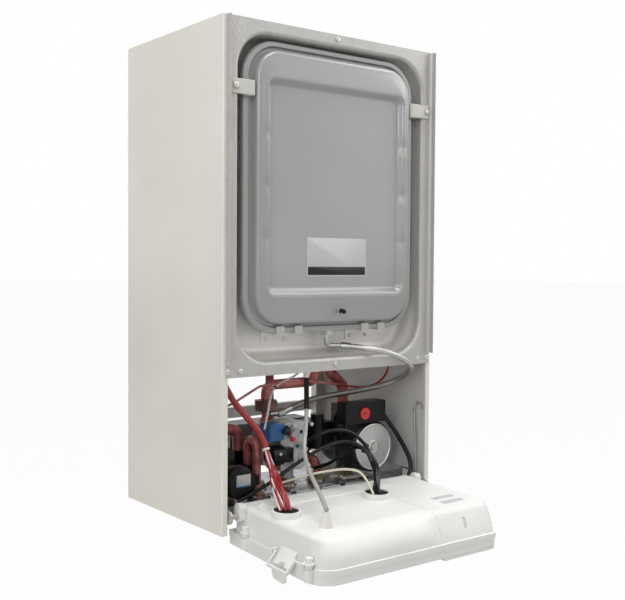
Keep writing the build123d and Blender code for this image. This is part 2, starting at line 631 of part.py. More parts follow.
def combustion():
    blades = block((-114, 114), (-200, -192), (296, 306)) + block((-114, 114), (-92, -84), (296, 306))
    for n in range(BLADES):
        x = -105 + 210 * n / (BLADES - 1)
        blades += block((x - 5, x + 5), (-206, -82), (290, 326))
    manifold = rod((-110, -228, 305), (110, -228, 305), 8)
    for n in range(BLADES):
        x = -105 + 210 * n / (BLADES - 1)
        manifold += block((x - 3, x + 3), (-222, -210), (302, 308))
    parts["burner"] = group(blades, manifold)
    walls = block((-124, 124), (-214, -70), (332, 452)) - block((-122, 122), (-212, -72), (331, 453))
    x, y, z = (-118, 118), (-208, -76), (452, 512)
    core = block(x, y, z) - block((x[0] + 3, x[1] - 3), (y[0] + 3, y[1] - 3), (z[0] - 1, z[1] + 1))
    pitch = (x[1] - x[0]) / (FINS + 1)
    for n in range(FINS):
        middle = x[0] + pitch * (n + 1)
        core += block((middle - 1.2, middle + 1.2), (y[0] + 2, y[1] - 2), (z[0] + 8, z[1] - 10))
    for side in (-1, 1):
        core += rod((side * 117, -142, 470), (side * 130, -142, 470), 12)
    parts["heat_exchanger"] = core
    low = Plane.XY.offset(512) * Pos(0, -142) * Rectangle(236, 132)
    high = Plane.XY.offset(566) * Pos(0, -142) * Rectangle(112, 62)
    low_in = Plane.XY.offset(512) * Pos(0, -142) * Rectangle(232, 128)
    high_in = Plane.XY.offset(566) * Pos(0, -142) * Rectangle(108, 58)
    hood = loft([low, high]) - loft([low_in, high_in])
    parts["combustion_chamber"] = group(walls, hood)


def fan():
    """A scroll fan on the hood that blows up into the flue outlet."""
    x, y, z = FAN
    front, back = y - 30, y + 28
    scroll = rod((x, front, z), (x, back, z), 66)
    duct = block((-34, 34), (front, back), (z, z + 96))
    foot = block((-54, 54), (front, back), (566, z - 20))
    shell = scroll + duct + foot
    room = rod((x, front + 2, z), (x, back - 2, z), 63)
    room += block((-32, 32), (front + 2, back - 2), (z, z + 94))
    shell -= room
    shell -= rod((x, front - 1, z), (x, front + 3, z), 6)
    shell += rod((*FLUE_XY, z + 94), (*FLUE_XY, FLUE_Z[0] - 0.2), FLUE_R[1])
    shell -= rod((*FLUE_XY, z + 90), (*FLUE_XY, FLUE_Z[0]), FLUE_R[0] - 1)
    motor = rod((x, front - 38, z), (x, front, z), 34)
    motor = chamfer(motor.edges().filter_by(GeomType.CIRCLE).sort_by(Axis.Y)[0], 4)
    motor -= rod((x, front - 6, z), (x, front + 1, z), 4 + RUNNING)
    parts["fan_housing"] = group(shell, motor)
    wheel = rod((x, front + 8, z), (x, front + 10, z), 52) + rod((x, front - 5.7, z), (x, front + 16, z), 4)
    for n in range(18):
        blade = Box(10, 34, 1.5, align=(Align.MIN, Align.MIN, Align.CENTER))
        wheel += Pos(x, front + 10, z) * Rot(0, 20 * n, 0) * Pos(42, 0, 0) * blade
    parts["fan_impeller"] = wheel


# ---------------------------------------------------------------- control box

def plan(x, u, w, front_left, front_right, rear=4):
    """A rounded outline seen from above, in the control box's own frame."""
    corners = [(x[0], -u[1]), (x[1], -u[1]), (x[1], -u[0]), (x[0], -u[0])]
    outline = make_face(Polyline(*[(a, b, w) for a, b in corners], close=True))
    for (a, b), radius in zip(corners, (front_left, front_right, rear, rear)):
        corner = outline.vertices().sort_by_distance((a, b, w))[0]
        outline = fillet(corner, radius)
    return outline


def raise_plan(outline, height, taper=0):
    return extrude(outline, height, dir=(0, 0, 1), taper=taper)


def cover_form(inset):
    """The tapered form of the rear cover, moved in by inset."""
    half = COVER_HALF - inset
    u = (COVER_U[0] + inset, COVER_U[1] - inset)
    outline = plan((-half, half), u, RIM_W, 38 - inset, 15 - inset)
    form = raise_plan(outline, TOP_W - RIM_W - inset, DRAFT)
    top = form.edges().group_by(Axis.Z)[-1]
    return fillet(top, TOP_R - inset)


def rear_cover():
    """The moulded cover that faces up: tapered shell, cable collars, bosses, catch and hinge ears."""
    shell = cover_form(0) - cover_form(WALL)
    step = plan((-150, 96), (-6, 34), TOP_W, 6, 6, 6)
    shell += chamfer(raise_plan(step, 1.6).faces().sort_by(Axis.Z)[-1].edges(), 1.2)
    for x, u in COLLARS:
        shell += Pos(x, -u, TOP_W + COLLAR_H / 2 - 1) * Cylinder(COLLAR_R, COLLAR_H + 2)
        shell -= Pos(x, -u, TOP_W) * Cylinder(INSERT_R, 30)
    shell += Pos(-157, -20, TOP_W + 1.5) * Cylinder(8, 3)
    ear_outline = [(-11, PIVOT_W), (-11, 31), (-7, 37), (3, 37), (7, 31), (7, PIVOT_W)]
    inside = cover_form(WALL)
    for side in (-1, 1):
        x = sorted((side * 181, side * EAR_X[1]))
        ear = across_x(ear_outline, x)
        ear += rod((x[0], -PIVOT_U, PIVOT_W), (x[1], -PIVOT_U, PIVOT_W), EAR_R)
        for u in BOSS_U:
            ear += rod((side * BOSS_X, -u, RIM_W), (side * BOSS_X, -u, RIM_W + 17), 5.5)
            ear += rod((side * BOSS_X, -u, RIM_W + 6), (side * BOSS_X, -u, RIM_W + 9), 8)
        shell += ear - inside
        shell -= rod((side * EAR_X[0], -PIVOT_U, PIVOT_W), (side * 200, -PIVOT_U, PIVOT_W), PIN_R + RUNNING)
    # the catch: a steep wedge whose tip stands just inside the strap
    catch = [(-180, 1), (-184, -1), (-197.5, -21), (-196, -23.5), (-189, -22), (-187.5, -12.5), (-180, -11.5)]
    ramp = make_face(Polyline(*[(x, -CATCH_U[0], w) for x, w in catch], close=True))
    wedge = extrude(ramp, CATCH_U[1] - CATCH_U[0], dir=(0, -1, 0))
    middle = -sum(CATCH_U) / 2
    wedge -= rod((-199, middle, -40), (-199, middle, -16), 7)
    shell += wedge - inside
    # two eyes carry the strap's pins
    for u in (BAIL_ENDS[0] - 2, BAIL_ENDS[1] - 4):
        eye = block((-192.5, -179), (-u - 6, -u), (BAIL_W - 3.5, BAIL_W + 3.5)) - inside
        shell += eye - rod((BAIL_X, -u - 7, BAIL_W), (BAIL_X, -u + 1, BAIL_W), 1.5 + RUNNING)
    return shell


def front_shell():
    """The fascia side, which faces down when the box is open."""
    half, u = SHELL_HALF, SHELL_U
    body = raise_plan(plan((-half, half), u, FACE_W, 40, 17), RIM_W - FACE_W)
    body = fillet(body.edges().group_by(Axis.Z)[0], 3)
    band = plan((-half - 1, half + 1), (u[0] - 1, u[1] + 1), RIM_W - 9, 41, 18)
    body += raise_plan(band, 9)
    deep = plan((-half + 1, half - 1), (u[0] + 1, u[1] - 1), FACE_W - 4, 39, 16)
    body += raise_plan(deep, 4.5) & block((62, 190), (-220, 40), (FACE_W - 5, FACE_W + 2))
    inner = half - 5
    room = plan((-inner, inner), (u[0] + 5, u[1] - 5), FACE_W + WALL, 35, 12)
    body -= raise_plan(room, 60)
    for side in (-1, 1):
        for u_boss in BOSS_U:
            boss = rod((side * BOSS_X, -u_boss, FACE_W + 5), (side * BOSS_X, -u_boss, RIM_W), 7)
            body += boss - block((-inner, inner), (-u[1], -u[0]), (FACE_W, RIM_W + 1))
    for x, u_knob in KNOBS:
        body -= rod((x, -u_knob, FACE_W - 6), (x, -u_knob, FACE_W + 4), 5)
    for x, u_button in BUTTONS:
        body -= rod((x, -u_button, FACE_W - 6), (x, -u_button, FACE_W + 4), BUTTON_R + 0.3)
    x, u_screen = SCREEN
    body -= block((x - 42, x + 42), (-u_screen - 17, -u_screen + 17), (FACE_W - 6, FACE_W + 4))
    body -= rod((GAUGE[0], -GAUGE[1], FACE_W - 6), (GAUGE[0], -GAUGE[1], FACE_W + 4), 21)
    return body


def bail():
    """The strap that snaps over the catch: a bar on two bent legs with pins, and a finger tab."""
    low, high = BAIL_U
    bar = block(STRAP_X, (-high, -low), STRAP_W)
    leg = [(BAIL_X + 2, BAIL_W - 1), (BAIL_X + 0.5, BAIL_W + 2), (BAIL_X - 2.5, BAIL_W + 1), (STRAP_X[0], STRAP_W[1]),
           (STRAP_X[0], STRAP_W[0]), (STRAP_X[1], STRAP_W[0]), (STRAP_X[1], STRAP_W[1] - 1)]
    for u in (low, high - 3):
        outline = make_face(Polyline(*[(x, -u, w) for x, w in leg], close=True))
        bar += extrude(outline, 3, dir=(0, -1, 0))
    bar += rod((BAIL_X, -low - 1, BAIL_W), (BAIL_X, -BAIL_ENDS[0], BAIL_W), 1.5)
    bar += rod((BAIL_X, -high + 1, BAIL_W), (BAIL_X, -BAIL_ENDS[1], BAIL_W), 1.5)
    middle = -(low + high) / 2 - 5
    tab = [(-18, 0), (-18, -8), (-14, -14), (9, -16), (15, -13), (15, 0)]
    outline = make_face(Polyline(*[(STRAP_X[1], middle - a, STRAP_W[0] + 1 + b) for a, b in tab], close=True))
    return bar + extrude(outline, 2.4, dir=(-1, 0, 0))


def control_box():
    whole = rear_cover()
    hood = block((SEAM_X, 230), (-230, -12), (RIM_W, TOP_W + 30))
    collar_x, collar_u = COLLARS[1]
    hood -= Pos(collar_x, -collar_u, TOP_W) * Cylinder(COLLAR_R + 0.6, 80)
    trim = block((SEAM_X + 0.5, 230), (-230, -12.5), (RIM_W, TOP_W + 30))
    bosses = block((178.2, 230), (-260, 60), (RIM_W - 1, TOP_W + 30))
    hood = hood - bosses
    trim = trim - bosses
    slot = rod((108, -190, 5), (108, -210, 5), 4) + rod((108, -190, 14), (108, -210, 14), 4)
    slot += block((104, 112), (-210, -190), (5, 14))
    terminal = (whole & trim) - slot
    rest = whole - hood
    parts["control_rear_cover"] = in_box(rest)
    parts["terminal_cover"] = in_box(terminal)
    inserts = [Pos(x, -u, TOP_W + COLLAR_H - 4) * Cylinder(INSERT_R, 4) for x, u in COLLARS]
    parts["cable_inserts"] = in_box(group(*inserts))
    boot = Cone(10.5, 4.5, BOOT_H, align=(Align.CENTER, Align.CENTER, Align.MIN))
    parts["cone_boot"] = in_box(Pos(BOOT[0], -BOOT[1], TOP_W) * boot)
    parts["control_front_shell"] = in_box(front_shell())
    parts["side_bail"] = in_box(bail())
    fascia_parts()
    board = block((-120, 120), (-130, -40), (-26, -24.4))
    relays = [block((x, x + 18), (-80, -60), (-24.4, -9)) for x in (-100, -74, -48, -22)]
    relays += [block((20, 66), (-110, -70), (-24.4, 6)), block((-90, -40), (-126, -104), (-24.4, -14))]
    posts = [rod((x, -u, FACE_W + WALL), (x, -u, -26), 4) for x in (-112, 112) for u in (48, 122)]
    board_shape = board
    for piece in relays + posts:
        board_shape += piece
    parts["circuit_board"] = in_box(board_shape)


def fascia_parts():
    """Knobs, buttons, display window and pressure gauge on the fascia."""
    for name, (x, u) in zip(("heating_knob", "water_knob"), KNOBS):
        face = FACE_W - (4 if x > 62 else 0)
        cap = Cylinder(20, 13) - Pos(0, 0, -6.5) * Box(3, 14, 2)
        cap = Pos(x, -u, face - 0.4 - 6.5) * cap
        spindle = rod((x, -u, face - 0.5), (x, -u, FACE_W + 8), 5 - RUNNING)
        parts[name] = in_box(cap + spindle)
    for name, (x, u) in zip(("mode_button", "reset_button"), BUTTONS):
        cap = rod((x, -u, FACE_W - 3), (x, -u, FACE_W + 5), BUTTON_R)
        foot = rod((x, -u, FACE_W + WALL + 0.4), (x, -u, FACE_W + 5), BUTTON_R + 1.5)
        parts[name] = in_box(cap + foot)
    x, u = SCREEN
    window = block((x - 42, x + 42), (-u - 17, -u + 17), (FACE_W - 0.8, FACE_W + 1.6))
    window += block((x - 45, x + 45), (-u - 20, -u + 20), (FACE_W + WALL, FACE_W + WALL + 1.5))
    window += block((x - 42, x + 42), (-u - 17, -u + 17), (FACE_W + 1, FACE_W + WALL + 1))
    parts["display_window"] = in_box(window)
    x, u = GAUGE
    gauge = rod((x, -u, FACE_W - 2), (x, -u, FACE_W + 16), 21)
    gauge -= rod((x, -u, FACE_W - 3), (x, -u, FACE_W + 1), 19)
    parts["pressure_gauge"] = in_box(gauge)


def hinge_brackets():
    """Steel brackets on the side panels, with an arm out to the hinge pin on each side."""
    side = HALF - SHEET
    _, pin_y, pin_z = box_point(0, PIVOT_U, PIVOT_W)
    arm = [(-300, 2), (-300, 14), (pin_y - 4, pin_z - 10), (pin_y - 9, pin_z - 4), (pin_y - 9, pin_z + 4),
           (pin_y - 4, pin_z + 9), (-300, pin_z + 12), (-262, 44), (-262, 2)]
    plate = across_x(arm, (-208, -205))
    foot = block((-side, -205), (-266, -263.5), (2, 34))
    wall = block((-side, -side + 2), (-300, -263.5), (2, 34))
    pin = rod((-205.5, pin_y, pin_z), (-EAR_X[0] - 0.6, pin_y, pin_z), PIN_R)
    return both_sides(plate + foot + wall + pin)


def stay_rod():
    """A hooked steel rod hung on a clip on the right side panel."""
    route = ((218.9 - 2.2, -300, 158), (216.5, -300, 166), (213, -288, 170), (211, -284, 160), (213.5, -288, 40))
    return bent_pipe(route, 1.8, 2.5, 8)


def screws():
    """Pan-head screws in the front plate, the side lips, the vessel's brackets and its clips."""
    shapes = [screw(x, PLATE_FACE, z, 5) for x, z in PLATE_SCREWS]
    return group(*shapes)


def save():
    """Writes one file per node."""
    os.makedirs("parts", exist_ok=True)
    for name, shape in parts.items():
        export_step(shape, f"parts/{name}.step")
    print(len(parts), "nodes")


casing()
chamber()
vessel()
hose_ends()
leads()
parts["pipe_tray"] = tray()
parts["connection_tails"] = tails()
parts["plate_exchanger"] = plate_exchanger()
pump()
water_groups()
gas_valve()
pipes()
combustion()
fan()
control_box()
parts["hinge_brackets"] = hinge_brackets()
parts["stay_rod"] = stay_rod()
parts["panel_screws"] = screws()
save()
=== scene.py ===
import bmesh
import bpy
import json
import math
import numpy as np
from mathutils import Matrix, Vector


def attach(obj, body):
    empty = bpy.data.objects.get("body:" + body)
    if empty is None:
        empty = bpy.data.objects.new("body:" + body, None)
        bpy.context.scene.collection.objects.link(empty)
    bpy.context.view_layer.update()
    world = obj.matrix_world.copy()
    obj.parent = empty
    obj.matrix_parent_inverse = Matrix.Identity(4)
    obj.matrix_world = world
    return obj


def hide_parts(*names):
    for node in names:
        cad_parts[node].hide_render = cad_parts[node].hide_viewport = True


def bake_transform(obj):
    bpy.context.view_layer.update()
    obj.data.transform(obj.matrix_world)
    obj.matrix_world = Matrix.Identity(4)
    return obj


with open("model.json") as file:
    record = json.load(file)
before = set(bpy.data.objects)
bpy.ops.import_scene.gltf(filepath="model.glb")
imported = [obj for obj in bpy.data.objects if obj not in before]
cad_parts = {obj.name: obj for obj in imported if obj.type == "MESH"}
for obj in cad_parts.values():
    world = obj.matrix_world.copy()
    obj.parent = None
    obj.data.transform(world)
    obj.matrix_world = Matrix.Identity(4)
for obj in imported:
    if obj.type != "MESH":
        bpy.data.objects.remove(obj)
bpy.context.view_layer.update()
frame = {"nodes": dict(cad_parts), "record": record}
nodes = frame["nodes"]
bodyOf = {node: body for body, members in frame["record"]["behaviour"]["bodies"].items() for node in members}
print("frame loaded:", len(nodes), "nodes")

# the photograph's camera, fitted to the casing's edges: metres, degrees, and millimetres for lens and film
view = {
    "place": (-0.9970, -1.5488, 0.4162),
    "yaw": 37.573,
    "pitch": -2.052,
    "roll": 0.382,
    "lens": 55.14,
    "film": 36.0,
}


def addCamera():
    # look direction from yaw and pitch, then the picture's right and up turned by the roll
    yaw, pitch, roll = (math.radians(view[k]) for k in ("yaw", "pitch", "roll"))
    ahead = Vector((math.sin(yaw) * math.cos(pitch), math.cos(yaw) * math.cos(pitch), math.sin(pitch)))
    right = Vector((math.cos(yaw), -math.sin(yaw), 0.0))
    up = right.cross(ahead)
    right, up = (right * math.cos(roll) + up * math.sin(roll), up * math.cos(roll) - right * math.sin(roll))
    lensData = bpy.data.cameras.new("photoCamera")
    lensData.lens = view["lens"]
    lensData.sensor_width = view["film"]
    lensData.sensor_fit = "HORIZONTAL"
    camera = bpy.data.objects.new("photoCamera", lensData)
    bpy.context.scene.collection.objects.link(camera)
    turn = Matrix((right, up, -ahead)).transposed().to_4x4()
    camera.matrix_world = Matrix.Translation(view["place"]) @ turn
    bpy.context.scene.camera = camera


# node maths: an expression on wires adds the Math nodes it needs
class Wire:
    def __init__(self, owner, socket):
        self.owner = owner
        self.socket = socket

    def math(self, operation, *rest):
        return self.owner.node("ShaderNodeMath", {"operation": operation}, self, *rest)

    def __add__(self, other):
        return self.math("ADD", other)

    def __sub__(self, other):
        return self.math("SUBTRACT", other)

    def __mul__(self, other):
        return self.math("MULTIPLY", other)

    def sin(self):
        return self.math("SINE")

    def abs(self):
        return self.math("ABSOLUTE")

    def above(self, limit):
        return self.math("GREATER_THAN", limit)

    def below(self, limit):
        return self.math("LESS_THAN", limit)

    def larger(self, other):
        return self.math("MAXIMUM", other)

    def smooth(self, low, high):
        # 0 at low, 1 at high, eased between
        return self.owner.node("ShaderNodeMapRange", {"interpolation_type": "SMOOTHSTEP"}, self, low, high)


class NodeTree:
    def __init__(self, tree):
        self.tree = tree

    def node(self, kind, settings, *values, out=0, **named):
        # settings first, then values or wires for the sockets, by order and by name; None leaves one alone
        made = self.tree.nodes.new(kind)
        for key, value in settings.items():
            setattr(made, key, value)
        for where, value in list(enumerate(values)) + list(named.items()):
            if isinstance(value, Wire):
                self.tree.links.new(value.socket, made.inputs[where])
            elif value is not None:
                made.inputs[where].default_value = value
        return Wire(self, made.outputs[out])


class Finish(NodeTree):
    def __init__(self, name, colour, rough=0.5, metal=0.0, coat=0.0, coatRough=0.1, spec=0.5):
        self.material = bpy.data.materials.new(name)
        self.material.use_nodes = True
        self.material.diffuse_color = colour
        super().__init__(self.material.node_tree)
        self.shader = self.tree.nodes["Principled BSDF"]
        constants = {"Base Color": colour, "Roughness": rough, "Metallic": metal, "Coat Weight": coat,
                     "Coat Roughness": coatRough, "Specular IOR Level": spec}
        for socket, value in constants.items():
            self.shader.inputs[socket].default_value = value

    def place(self, kind="Object"):
        return self.node("ShaderNodeTexCoord", {}, out=kind)

    def axes(self, vector):
        made = self.node("ShaderNodeSeparateXYZ", {}, vector)
        return tuple(Wire(self, socket) for socket in made.socket.node.outputs)

    def noise(self, scale, detail=3.0, rough=0.5, stretch=None):
        vector = self.place()
        if stretch:
            vector = self.node("ShaderNodeMapping", {}, vector, Scale=stretch)
        return self.node("ShaderNodeTexNoise", {}, Vector=vector, Scale=scale, Detail=detail, Roughness=rough)

    def cellTone(self, scale):
        # one grey for each cell of a Voronoi pattern
        cells = self.node("ShaderNodeTexVoronoi", {}, out="Color", Vector=self.place(), Scale=scale)
        return self.axes(cells)[0]

    def mix(self, factor, first, second):
        # colour mix: first where the factor is 0; the colour sockets are the seventh and eighth
        return self.node("ShaderNodeMix", {"data_type": "RGBA"}, factor, *[None] * 5, first, second, out=2)

    def put(self, socket, wire):
        self.tree.links.new(wire.socket, self.shader.inputs[socket])

    def bump(self, height, distance):
        self.put("Normal", self.node("ShaderNodeBump", {}, Strength=1.0, Distance=distance, Height=height))


def paint(red, green, blue, shade=1.0, most=255):
    # screen colour, 0 to 255, times a shade, to the linear colour that shaders take
    shares = [min(most, v * shade) / 255 for v in (red, green, blue)]
    return (*[v / 12.92 if v <= 0.04045 else ((v + 0.055) / 1.055) ** 2.4 for v in shares], 1.0)


# the object's finishes

def casingLacquer():
    # off-white baked lacquer: a fine orange peel and a faint cloudiness
    look = {"colour": (236, 233, 222), "cloud": (230, 227, 215), "innerGrey": (206, 205, 203), "peel": 900.0,
            "inner": 0.2196, "lip": -0.3138, "roof": 0.7935}
    finish = Finish("casingLacquer", paint(*look["colour"]), rough=0.32, coat=0.25, coatRough=0.2)
    cloud = finish.noise(5.0, 2.0).smooth(0.3, 0.75)
    x, y, z = finish.axes(finish.place())
    # the panels' inner faces are coloured a darker, more neutral grey than the outside
    inside = x.abs().below(look["inner"]) * y.above(look["lip"]) * z.below(look["roof"])
    tone = finish.mix(cloud, paint(*look["colour"]), paint(*look["cloud"]))
    finish.put("Base Color", finish.mix(inside, tone, paint(*look["innerGrey"])))
    finish.put("Roughness", finish.noise(40.0, 2.0) * 0.10 + 0.27)
    finish.bump(finish.noise(look["peel"], 2.0), 0.00006)
    return finish.material


def zincSheet():
    # galvanised sheet: spangles, rolling streaks, handling marks, painted light that makes the recess paler,
    # scratches at one corner
    colour = (190, 188, 184)
    look = {"spangle": 420.0, "recess": (-0.306, -0.290), "corner": (-0.196, 0.779),
            "scratch": (236, 234, 226)}
    finish = Finish("zincSheet", paint(*colour), rough=0.42, metal=0.25)
    x, y, z = finish.axes(finish.place())
    tone = finish.cellTone(look["spangle"])
    streak = finish.noise(60.0, 2.0, stretch=(1.0, 1.0, 0.06))
    marks = finish.noise(9.0, 4.0, 0.6).smooth(0.45, 0.8)
    bright = finish.mix(tone, paint(*colour, shade=0.965), paint(*colour, shade=1.03))
    dull = finish.mix(marks * 0.4 + streak * 0.25, bright, paint(*colour, shade=0.9))
    # painted light: the deeper walls of the drawn recess are coloured paler, standing in for the light that
    # falls on them
    pale = finish.mix(y.smooth(*look["recess"]) * 0.9, dull, paint(*colour, shade=1.26, most=240))
    cornerX, cornerZ = look["corner"]
    near = ((x - cornerX).abs() + (z - cornerZ).abs()).smooth(0.030, 0.008)
    scuffs = finish.noise(420.0, 4.0, 0.75, stretch=(1.0, 1.0, 0.5)).smooth(0.54, 0.64)
    finish.put("Base Color", finish.mix(near * scuffs, pale, paint(*look["scratch"])))
    finish.put("Roughness", tone * 0.10 + marks * 0.10 + 0.36)
    finish.bump(finish.noise(600.0, 3.0), 0.00004)
    return finish.material


def vesselPaint():
    # semi-gloss grey enamel on pressed steel, with slight flow and a little dust
    enamel, flow, dusty = paint(160, 162, 162), paint(155, 156, 154), paint(158, 156, 150)
    finish = Finish("vesselPaint", enamel, rough=0.32, coat=0.7, coatRough=0.10)
    dust = finish.noise(14.0, 4.0, 0.6).smooth(0.5, 0.85)
    cloud = finish.noise(3.5, 2.0).smooth(0.35, 0.7)
    finish.put("Base Color", finish.mix(dust * 0.3, finish.mix(cloud, enamel, flow), dusty))
    finish.put("Roughness", finish.noise(60.0, 3.0) * 0.12 + 0.28)
    finish.bump(finish.noise(420.0, 2.0), 0.00008)
    return finish.material


def moulding(name, colour, rough=0.45, grain=1400.0, depth=0.00005, shade=0.97, coat=0.0, spec=0.5):
    # moulded plastic: fine spark-eroded grain and a faint flow cloud
    finish = Finish(name, paint(*colour), rough=rough, coat=coat, coatRough=0.12, spec=spec)
    flow = finish.noise(12.0, 3.0).smooth(0.35, 0.8)
    finish.put("Base Color", finish.mix(flow, paint(*colour), paint(*colour, shade=shade)))
    finish.put("Roughness", finish.noise(90.0, 2.0) * 0.12 + (rough - 0.06))
    finish.bump(finish.noise(grain, 2.0), depth)
    return finish.material


def metal(name, colour, rough=0.3, mottle=0.85, scale=60.0, amount=1.0):
    # bare metal with a mottled tarnish
    finish = Finish(name, paint(*colour), rough=rough, metal=amount)
    tarnish = finish.noise(scale, 4.0, 0.6).smooth(0.35, 0.75)
    finish.put("Base Color", finish.mix(tarnish, paint(*colour), paint(*colour, shade=mottle)))
    finish.put("Roughness", tarnish * 0.22 + rough)
    finish.bump(finish.noise(scale * 12, 2.0), 0.00003)
    return finish.material


def copperPipe():
    # tarnished copper: rosy where handled, dark red-brown in patches, specks of flux
    rosy, dark, flux = paint(206, 128, 122), paint(152, 72, 72), paint(230, 184, 176)
    finish = Finish("copperPipe", paint(168, 84, 80), rough=0.34, metal=0.25)
    patch = finish.noise(38.0, 5.0, 0.65).smooth(0.38, 0.68)
    speck = finish.noise(260.0, 3.0, 0.6).smooth(0.6, 0.72)
    finish.put("Base Color", finish.mix(speck * 0.5, finish.mix(patch, rosy, dark), flux))
    finish.put("Roughness", patch * 0.2 + 0.28)
    finish.bump(finish.noise(500.0, 3.0), 0.00005)
    return finish.material


def castMetal():
    # die-cast alloy: grainy skin with darker mould stains
    alloy, stained = paint(190, 192, 192), paint(146, 146, 144)
    finish = Finish("castAlloy", paint(186, 188, 188), rough=0.48, metal=0.55)
    stain = finish.noise(45.0, 4.0, 0.6).smooth(0.42, 0.75)
    finish.put("Base Color", finish.mix(stain, alloy, stained))
    finish.put("Roughness", stain * 0.15 + 0.42)
    finish.bump(finish.noise(1100.0, 3.0), 0.00016)
    return finish.material


def wovenSteel():
    # stainless wire braid: its wires follow the hose's own length and angle, and its far end is darkened with
    # painted shade
    look = {"pitch": 2400.0, "starts": 8, "farShadeSpan": (0.13, 0.24)}
    gapColour, wire, shadeColour = paint(74, 73, 71), paint(196, 195, 190), paint(84, 83, 80)
    finish = Finish("wovenSteel", paint(176, 175, 170), rough=0.4, metal=0.75)
    along, around, _ = finish.axes(finish.place("UV"))
    length, turn = along * look["pitch"], around * 2 * math.pi * look["starts"]
    lay, counter = (length + turn).sin(), (length - turn).sin()
    gap = (lay * counter * 0.5 + 0.5).smooth(0.0, 0.35)
    # painted shade: the braid turns darker along its length towards its far run
    farShade = along.smooth(*look["farShadeSpan"]) * 0.6
    finish.put("Base Color", finish.mix(farShade, finish.mix(gap, gapColour, wire), shadeColour))
    finish.put("Roughness", gap * -0.12 + 0.48)
    finish.bump(gap, 0.00012)
    return finish.material


def clearWindow():
    # dark glass over a display
    finish = Finish("clearWindow", paint(70, 78, 72), rough=0.08, coat=0.6, coatRough=0.03)
    finish.put("Roughness", finish.noise(50.0, 2.0) * 0.05 + 0.05)
    return finish.material


def printedLabel(name="bareLabel", colour=(206, 207, 205), rough=0.5):
    # matt film with a faint grain and dust
    finish = Finish(name, paint(*colour), rough=rough, spec=0.3)
    dust = finish.noise(30.0, 4.0, 0.6).smooth(0.5, 0.8)
    finish.put("Base Color", finish.mix(dust * 0.4, paint(*colour), paint(*colour, shade=0.96)))
    finish.bump(finish.noise(900.0, 2.0), 0.00003)
    return finish.material


finishes = {
    "casing": casingLacquer(),
    "zinc": zincSheet(),
    "zincDark": metal("zincTray", (168, 168, 169), rough=0.2, mottle=0.85, scale=22.0, amount=0.9),
    "vessel": vesselPaint(),
    "rubber": moulding("blackRubber", (22, 22, 23), rough=0.6, spec=0.25),
    "brass": metal("tailNickel", (158, 146, 122), rough=0.34, mottle=0.7),
    "bronze": metal("darkBronze", (134, 98, 90), rough=0.42, mottle=0.7, amount=0.4),
    "white": moulding("whitePlastic", (233, 233, 229), rough=0.42, spec=0.4),
    "cream": moulding("bootPlastic", (228, 226, 216)),
    "clip": moulding("clipPlastic", (210, 209, 200), rough=0.4),
    "black": moulding("blackPlastic", (12, 12, 13), rough=0.36, spec=0.25),
    "cable": moulding("cableBlack", (8, 8, 9), rough=0.24, grain=500.0, spec=0.3),
    "creamCable": moulding("cableCream", (226, 220, 200), rough=0.4, grain=500.0),
    "redCable": moulding("cableRed", (160, 34, 38), rough=0.42, grain=500.0, coat=0.2),
    "pairWhite": moulding("pairWhite", (206, 204, 200), rough=0.4, grain=500.0),
    "whiteCable": moulding("cableWhite", (232, 226, 222), rough=0.4, grain=500.0),
    "greyTube": moulding("tubeGrey", (166, 165, 160), rough=0.36, grain=500.0, coat=0.3),
    "grey": moulding("greyPlastic", (122, 124, 126)),
    "barGrey": printedLabel("barGrey", (188, 188, 193)),
    "blue": moulding("coilBlue", (38, 92, 146), rough=0.35),
    "dial": moulding("dialRed", (206, 42, 40), rough=0.36, coat=0.3),
    "label": printedLabel(),
    "labelDark": printedLabel("labelDark", (40, 40, 41)),
    "labelBlue": printedLabel("labelBlue", (58, 140, 200)),
    "steel": metal("stainless", (200, 200, 198), rough=0.3),
    "silver": metal("silverRim", (206, 206, 204), rough=0.26, mottle=0.92, amount=0.8),
    "braid": wovenSteel(),
    "copper": copperPipe(),
    "aluminium": castMetal(),
    "pumpGrey": moulding("pumpGrey", (30, 30, 30), rough=0.44, depth=0.0002, grain=700.0, spec=0.3),
    "castIron": metal("castIron", (86, 86, 84), rough=0.4, amount=0.5),
    "screw": metal("zincScrew", (212, 211, 206), rough=0.24, amount=0.8),
    "board": moulding("boardGreen", (34, 92, 62), rough=0.3),
    "window": clearWindow(),
}

finishOf = {
    "casing": ["side_panel_left", "side_panel_right", "top_panel"],
    "zinc": ["rear_frame", "chamber_case", "chamber_front_plate", "vessel_brackets", "hinge_brackets"],
    "zincDark": ["pipe_tray", "combustion_chamber"],
    "vessel": ["vessel_front_pan", "vessel_rear_pan"],
    "rubber": ["vessel_diaphragm", "cable_inserts"],
    "brass": ["connection_tails"],
    "bronze": ["union_nuts"],
    "white": ["control_rear_cover", "control_front_shell", "terminal_cover", "side_bail"],
    "clip": ["vessel_clips"],
    "cream": ["cone_boot"],
    "black": ["pump_electronics", "flow_group", "return_group", "air_vent",
              "safety_valve_knob", "filling_tap_knob", "heating_knob", "water_knob", "diverter_actuator"],
    "grey": ["mode_button", "reset_button", "pump_impeller"],
    "steel": ["plate_exchanger", "stay_rod", "flue_collar", "pump_vent_screw", "hose_fittings",
              "vessel_valve"],
    "copper": ["water_pipes", "gas_pipe", "heat_exchanger"],
    "aluminium": ["gas_valve", "burner", "fan_housing", "fan_impeller", "pump_cap"],
    "blue": ["gas_coils"],
    "dial": ["pump_dial"],
    "pumpGrey": ["pump_motor"],
    "castIron": ["pump_volute"],
    "screw": ["panel_screws"],
    "board": ["circuit_board"],
    "window": ["display_window", "pressure_gauge"],
}
for name, members in finishOf.items():
    for member in members:
        nodes[member].data.materials.clear()
        nodes[member].data.materials.append(finishes[name])
print("finishes on", sum(len(v) for v in finishOf.values()), "nodes")


# shapes from grids of points

def linked(name, mesh, looks=()):
    for look in looks:
        mesh.materials.append(finishes[look])
    piece = bpy.data.objects.new(name, mesh)
    bpy.context.scene.collection.objects.link(piece)
    return piece


